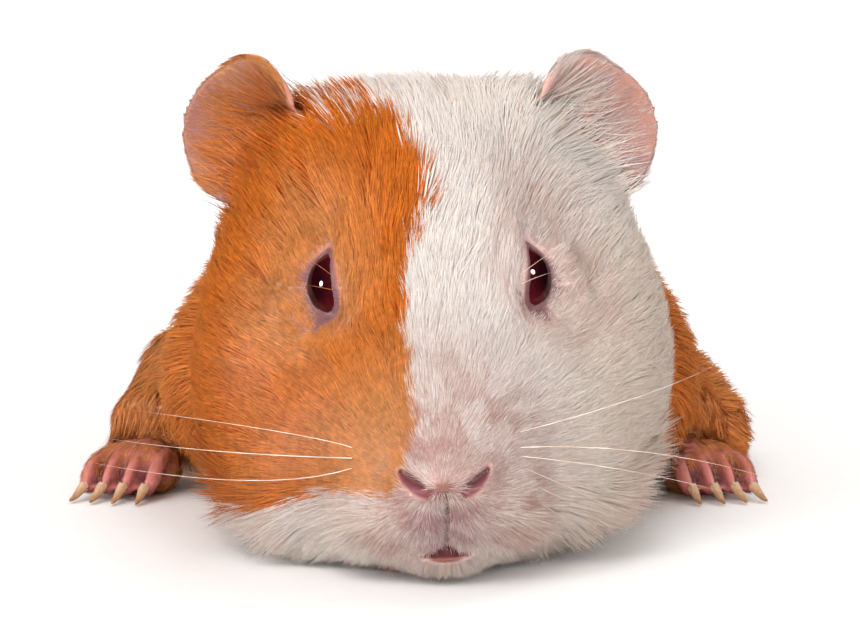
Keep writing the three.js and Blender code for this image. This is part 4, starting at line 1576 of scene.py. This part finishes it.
    def bend(self, wiring: Wiring, skin: Socket, locks: Socket) -> Socket:
        """Lays each blade along the skin, rising to its own height, with its tip drawn to its clump."""
        rows = ("root", "out", "toward", "way", "swing", "unwrap")
        root, out, toward, way, swing, unwrap = (wiring.attribute(name, "FLOAT_VECTOR") for name in rows)
        numbers = ("along", "across", "reach", "breadth", "rise", "roll", "stand", "cling", "pull")
        along, across, reach, breadth, rise, roll, stand, cling, pull = map(wiring.attribute, numbers)
        gone = wiring.math("MULTIPLY", reach, along)
        late = wiring.math("MULTIPLY", along, along)
        straight = wiring.vector("ADD", root, wiring.times(way, gone))
        curl = wiring.times(swing, gone, wiring.math("MULTIPLY", along, 0.5))
        clumped = wiring.times(toward, late, pull)
        spine = wiring.total(straight, curl, clumped)
        below = wiring.under(skin, wiring.get("GeometryNodeInputPosition"), spine)
        up = wiring.under(skin, wiring.get("GeometryNodeInputNormal"), spine)
        up = wiring.vector("NORMALIZE", up)
        sunk = wiring.math("MULTIPLY", wiring.math("SUBTRACT", 1.0, along), -self.sunk * MM)
        risen = wiring.math("MULTIPLY", rise, wiring.math("POWER", along, 0.8))
        combed = wiring.vector("ADD", below, wiring.times(up, wiring.math("ADD", risen, sunk)))
        lifted = wiring.math("ADD", wiring.math("MULTIPLY", gone, stand), sunk)
        free = wiring.total(straight, clumped, wiring.times(out, lifted))
        loose = wiring.math("SUBTRACT", 1.0, cling)
        middle = wiring.vector("ADD", wiring.times(combed, cling), wiring.times(free, loose))
        side = wiring.vector("NORMALIZE", wiring.vector("CROSS_PRODUCT", way, up))
        side = wiring.times(side, wiring.math("COSINE", roll))
        rolled = wiring.vector("ADD", side, wiring.times(up, wiring.math("SINE", roll)))
        spot = wiring.vector("ADD", middle, wiring.times(rolled, across, breadth))
        parts = wiring.add("ShaderNodeSeparateXYZ", {0: spot}).outputs
        above = wiring.math("MAXIMUM", parts[2], self.off_floor * MM)
        spot = wiring.row(parts[0], parts[1], above)
        facing = wiring.total(up, wiring.times(rolled, across, 0.9), wiring.times(rolled, roll, 0.2))
        locks = wiring.store(locks, "facing", facing, "FLOAT_VECTOR")
        patch = wiring.times(wiring.row(across, along), self.patch_size)
        locks = wiring.store(locks, "OFBake", wiring.vector("ADD", unwrap, patch), "FLOAT2", "CORNER")
        return wiring.get("GeometryNodeSetPosition", {"Geometry": locks, "Position": spot})

    def comb(self, mesh: bpy.types.Mesh) -> None:
        """Gives the locks soft normals and takes off what only the tree needed."""
        facing = unit(vectors(mesh.attributes["facing"].data))
        mesh.shade_smooth()
        mesh.normals_split_custom_set_from_vertices(facing.tolist())
        keep = {"along", "shade", "tint", "flush", "dusk", "cream", "OFBake", "custom_normal", "sharp_face"}
        for name in [one.name for one in mesh.attributes if not one.is_internal and not one.is_required]:
            if name not in keep:
                mesh.attributes.remove(mesh.attributes[name])

    def dress(self) -> None:
        """Gives each piece its place in the frame."""
        for patch, piece in zip(Patch, self.pieces):
            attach(piece, BODY)


# ---- Eyes, claws and whiskers -----------------------------------------------------------------------


@dataclass
class Eyes:
    """Both eyeballs, with a slight bulge of the cornea."""

    face: Face = Face()
    rings: int = 64
    bulge: float = 0.1
    inset: float = 0.02  # of the ball from its solid

    def build(self) -> list[bpy.types.Object]:
        """Makes a ball for each eye.

        Returns:
            The eyes' objects.
        """
        self.pieces = []
        finish = EyeFinish().make()
        ball, faces = self.sphere()
        for eye, name in zip(self.face.eyes(), ("eye_left", "eye_right")):
            local = ball * (eye.radius - self.inset)
            local[:, 2] += self.bulge * ramp(ball[:, 2], 0.55, 1.0)
            spots = eye.world(local)
            mesh = bpy.data.meshes.new(name)
            mesh.from_pydata((spots * MM).tolist(), [], faces)
            mesh.shade_smooth()
            around = np.hypot(ball[:, 0], ball[:, 1])
            height = self.face.head.straight(spots)[:, 2] - eye.centre[2]
            # Ruby towards the ball's edge for the iris, and redder low on the ball as a painted reflection.
            write(mesh, "iris_and_reflection", np.clip(ramp(around, 0.35, 0.9) * 0.6 + ramp(-height, 0.5, 4.5) * 0.6, 0, 1))
            self.pieces.append(place(name + "_ball", mesh, finish))
        return self.pieces

    def sphere(self) -> tuple[Array, list[list[int]]]:
        """The points and faces of a ball of radius 1, the faces in an order that is the same each run."""
        shape = bmesh.new()
        bmesh.ops.create_uvsphere(shape, u_segments=self.rings, v_segments=self.rings // 2, radius=1.0)
        bmesh.ops.recalc_face_normals(shape, faces=shape.faces)
        points = np.array([point.co for point in shape.verts])
        faces = [[point.index for point in face.verts] for face in shape.faces]
        shape.free()
        starts = [face.index(min(face)) for face in faces]
        return points, sorted(face[start:] + face[:start] for face, start in zip(faces, starts))

    def dress(self) -> None:
        """Puts the balls in the places of the solids'."""
        for piece, name in zip(self.pieces, ("eye_left", "eye_right")):
            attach(piece, BODY)
            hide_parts(name)


@dataclass
class Claws:
    """The claws of one paw, smoothed from their solids."""

    paw: str
    levels: int = 2

    def build(self) -> bpy.types.Object:
        """Rounds off the claws and marks how far along each point is.

        Returns:
            The claws' object.
        """
        self.nodes = sorted(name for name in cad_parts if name.startswith(self.paw))
        mesh, counts = joined(self.nodes)
        spans = np.split(places(mesh)[:, 1], np.cumsum(counts)[:-1])
        along = [(own.max() - own) / (own.max() - own.min()) for own in spans]
        write(mesh, "along", np.concatenate(along))
        rough = place("rough", mesh)
        modifier = rough.modifiers.new("round", "SUBSURF")
        modifier.levels = modifier.render_levels = self.levels
        self.piece = place("claws_" + self.paw, settle(rough), HornFinish().make())
        self.piece.data.shade_smooth()
        return self.piece

    def dress(self) -> None:
        """Puts the claws in the places of the solids'."""
        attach(self.piece, BODY)
        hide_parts(*self.nodes)


@dataclass(frozen=True)
class Bristle:
    """One long hair: its root, a place that it passes and its tip, on the straight head."""

    root: Place
    middle: Place
    tip: Place
    thick: float = 0.16
    warm: float = 0.0  # 1 for an orange hair

    def path(self, steps: int = 12) -> Array:
        """Points along the hair, which bends evenly through its middle place."""
        root, middle, tip = (np.array(one) for one in (self.root, self.middle, self.tip))
        pull = 2 * middle - (root + tip) / 2
        share = np.linspace(0, 1, steps)[:, None]
        return (1 - share) ** 2 * root + 2 * share * (1 - share) * pull + share**2 * tip


@dataclass
class Whiskers:
    """The long hairs of the muzzle and brow, swept by Geometry Nodes along their paths."""

    skin: Skin
    left: tuple[Bristle, ...] = (
        Bristle((10.0, -112.6, 19.1), (26.5, -104.4, 22.1), (40.0, -88.1, 24.4), 0.13),
        Bristle((9.9, -113.1, 17.2), (29.1, -103.6, 14.3), (48.9, -88.6, 7.3), 0.14),
        Bristle((9.8, -113.1, 16.1), (26.1, -105.4, 12.2), (41.2, -94.2, 6.7), 0.12),
        Bristle((8.8, -113.5, 15.4), (15.0, -110.8, 12.1), (21.6, -105.2, 8.6), 0.08),
        Bristle((7.9, -113.5, 14.7), (13.7, -111.3, 11.0), (19.2, -107.1, 7.6), 0.08),
        Bristle((7.2, -113.4, 14.0), (13.0, -111.7, 9.4), (17.8, -108.0, 5.3), 0.08),
    )
    right: tuple[Bristle, ...] = (
        Bristle((-11.3, -111.5, 17.8), (-21.7, -102.9, 19.3), (-43.0, -81.8, 20.5), 0.11),
        Bristle((-11.3, -112.0, 16.5), (-29.5, -98.5, 16.3), (-46.2, -77.6, 16.0), 0.14),
        Bristle((-11.4, -112.0, 15.2), (-26.5, -102.7, 12.9), (-48.8, -81.5, 13.4), 0.13),
        Bristle((-8.8, -113.5, 12.4), (-15.0, -110.8, 9.1), (-21.6, -105.2, 5.6), 0.08),
        Bristle((-7.2, -113.4, 11.0), (-12.0, -111.7, 7.4), (-16.8, -108.0, 4.3), 0.08),
    )
    lashes: tuple[Bristle, ...] = (
        Bristle((-11.8, -99.6, 37.9), (-13.8, -101.0, 39.7), (-16.1, -97.9, 41.2), 0.07, 1.0),
        Bristle((-12.4, -99.9, 36.9), (-14.4, -101.2, 37.5), (-16.4, -97.9, 37.7), 0.07, 1.0),
        Bristle((10.9, -100.6, 37.7), (13.7, -101.6, 39.8), (17.6, -98.2, 41.8), 0.07),
        Bristle((11.5, -100.8, 36.9), (13.5, -101.5, 37.8), (16.2, -98.2, 38.3), 0.07),
    )
    sides: int = 6

    def build(self) -> bpy.types.Object:
        """Sweeps the hairs.

        Returns:
            The whiskers' object.
        """
        head = self.skin.face.head
        paths, links, thick, warm = [], [], [], []
        for hair in (*self.left, *self.right, *self.lashes):
            start = sum(len(path) for path in paths)
            path = head.turned(hair.path())
            paths.append(path)
            links += [(start + step, start + step + 1) for step in range(len(path) - 1)]
            thick += [hair.thick] * len(path)
            warm += [hair.warm] * len(path)
        mesh = bpy.data.meshes.new("paths")
        mesh.from_pydata((np.concatenate(paths) * MM).tolist(), links, [])
        write(mesh, "thick", np.array(thick) * MM / 2)
        write(mesh, "warm", np.array(warm))
        finish = WhiskerFinish().make()
        swept = drive(place("paths", mesh), self.sweep(), Sides=self.sides, Finish=finish)
        swept.shade_smooth()
        self.piece = place("whiskers", swept, finish)
        return self.piece

    @staticmethod
    def sweep() -> bpy.types.NodeTree:
        """Writes the tree that turns paths into tapered hairs."""
        tree = bpy.data.node_groups.new("bristles", "GeometryNodeTree")
        wiring = Wiring(tree)
        given = wiring.doors("Paths", Sides="Int", Finish="Material")
        curve = wiring.get("GeometryNodeMeshToCurve", {"Mesh": given["Paths"]})
        along = wiring.get("GeometryNodeSplineParameter", leaves="Factor")
        taper = wiring.math("SUBTRACT", 1.03, wiring.math("POWER", along, 1.3))
        thick = wiring.math("MULTIPLY", wiring.attribute("thick"), taper)
        curve = wiring.get("GeometryNodeSetCurveRadius", {"Curve": curve, "Radius": thick})
        ring = wiring.get("GeometryNodeCurvePrimitiveCircle", {"Resolution": given["Sides"], "Radius": 1.0})
        inputs = {"Curve": curve, "Profile Curve": ring, "Fill Caps": True}
        tube = wiring.add("GeometryNodeCurveToMesh", inputs)
        if "Scale" in tube.inputs:
            tree.links.new(thick, tube.inputs["Scale"])
        wiring.finish(wiring.out(tube), given["Finish"])
        return tree

    def dress(self) -> None:
        """Gives the whiskers their place in the frame."""
        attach(self.piece, BODY)


# ---- Studio -----------------------------------------------------------------------------------------


def aimed(name: str, data: bpy.types.ID, spot: Vector, way: Vector) -> bpy.types.Object:
    """Puts a light or a camera at a spot, looking back along the way that led to it."""
    thing = bpy.data.objects.new(name, data)
    thing.location = spot
    thing.rotation_euler = way.to_track_quat("Z", "Y").to_euler()
    bpy.context.scene.collection.objects.link(thing)
    return thing


@dataclass(frozen=True)
class Lamp:
    """A soft light: where it is and how wide, aimed at the face."""

    name: str
    azimuth: float  # degrees from straight ahead of the animal, towards +X
    height: float  # degrees above the floor
    away: float
    size: float
    power: float
    glints: bool = False
    aim: Place = (0.0, -95.0, 32.0)

    def hang(self) -> bpy.types.Object:
        """Puts the light up."""
        way = Vector(bearing(self.azimuth, self.height))
        light = bpy.data.lights.new(self.name, "AREA")
        light.shape = "DISK"
        light.size = self.size
        light.energy = self.power
        lamp = aimed(self.name, light, Vector(self.aim) * MM + way * self.away, way)
        lamp.visible_glossy = self.glints
        lamp.visible_diffuse = not self.glints
        return lamp


@dataclass
class Studio:
    """A pale paper sweep, soft lights and the camera in front."""

    target: Place = (0.0, -95.0, 32.0)
    elevation: float = 4.5
    distance: float = 300.0
    lens_pixels: float = 2250.0  # focal length, in widths of a pixel of a frame 860 wide
    frame_width: int = 860
    sensor: float = 36.0
    lamps: tuple[Lamp, ...] = (
        Lamp("key", -28, 46, 0.75, 0.6, 3.2),
        Lamp("fill", 42, 20, 0.8, 0.7, 1.8),
        Lamp("low", -50, 5, 0.8, 0.6, 2.4),
        Lamp("front", -6, 9, 0.9, 0.25, 2.4),
        Lamp("back", 160, 55, 0.8, 0.5, 1.6),
        Lamp("backdrop", 0, 60, 0.9, 0.8, 9.0, aim=(0, 1500, 250)),
        Lamp("glint_right", -74, 7, 0.5, 0.12, 3.0, True),
        Lamp("glint_left", 62, 24, 0.5, 0.12, 3.0, True),
    )

    def build(self) -> None:
        """Sets up the sweep, the lights, the sky and the camera."""
        scene = bpy.context.scene
        scene.view_settings.view_transform = "Standard"
        for lamp in self.lamps:
            lamp.hang()
        world = bpy.data.worlds.new("studio")
        world.use_nodes = True
        sky = world.node_tree.nodes["Background"]
        sky.inputs["Color"].default_value = tone("#F6F6F8")
        sky.inputs["Strength"].default_value = 0.6
        world.cycles_visibility.glossy = False
        scene.world = world
        camera = bpy.data.cameras.new("camera")
        camera.sensor_width = self.sensor
        camera.lens = self.sensor * self.lens_pixels / self.frame_width
        camera.clip_start = 0.01
        way = Vector(bearing(0.0, self.elevation))
        spot = Vector(self.target) * MM + way * self.distance * MM
        scene.camera = aimed("camera", camera, spot, way)
        sweep = self.sweep()
        sweep.visible_glossy = False

    def sweep(self) -> bpy.types.Object:
        """Makes a wide round sheet of paper whose edge turns up gently."""
        shape = bmesh.new()
        rings, sectors = 40, 96
        flat_to, out_to, steep = 0.6, 3.2, 0.45  # metres, and how fast it turns up
        rows = []
        turns = [2 * math.pi * sector / sectors for sector in range(sectors)]
        for ring in range(1, rings + 1):
            out = out_to * ring / rings
            rise = steep * max(0.0, out - flat_to) ** 2
            spots = [(out * math.cos(turn), out * math.sin(turn), rise) for turn in turns]
            rows.append([shape.verts.new(spot) for spot in spots])
        middle = shape.verts.new((0, 0, 0))
        for sector in range(sectors):
            after = (sector + 1) % sectors
            shape.faces.new((middle, rows[0][sector], rows[0][after]))
            for inner, outer in zip(rows[:-1], rows[1:]):
                shape.faces.new((inner[sector], outer[sector], outer[after], inner[after]))
        mesh = poured(shape, "sweep")
        mesh.shade_smooth()
        return place("sweep", mesh, BackdropFinish().make())


# ---- The model --------------------------------------------------------------------------------------


def main() -> None:
    """Builds and dresses the model, part by part."""
    logging.basicConfig(level=logging.INFO, format="%(name)s %(relativeCreated)d ms: %(message)s")
    Studio().build()
    log.info("studio: sweep, lights and camera")
    skin = Skin()
    skin.build()
    skin.dress()
    eyes = Eyes()
    eyes.build()
    eyes.dress()
    log.info("eyes: %d", len(eyes.pieces))
    for paw in ("foreclaw_left", "foreclaw_right", "hindclaw_left", "hindclaw_right"):
        claws = Claws(paw)
        claws.build()
        claws.dress()
        log.info("%s: %d claws", paw, len(claws.nodes))
    whiskers = Whiskers(skin)
    whiskers.build()
    whiskers.dress()
    log.info("whiskers: %d triangles", 2 * len(whiskers.piece.data.polygons))
    coat = Coat(skin)
    coat.build()
    coat.dress()
    log.info("coat: %d pieces", len(coat.pieces))


if __name__ == "__main__":
    main()
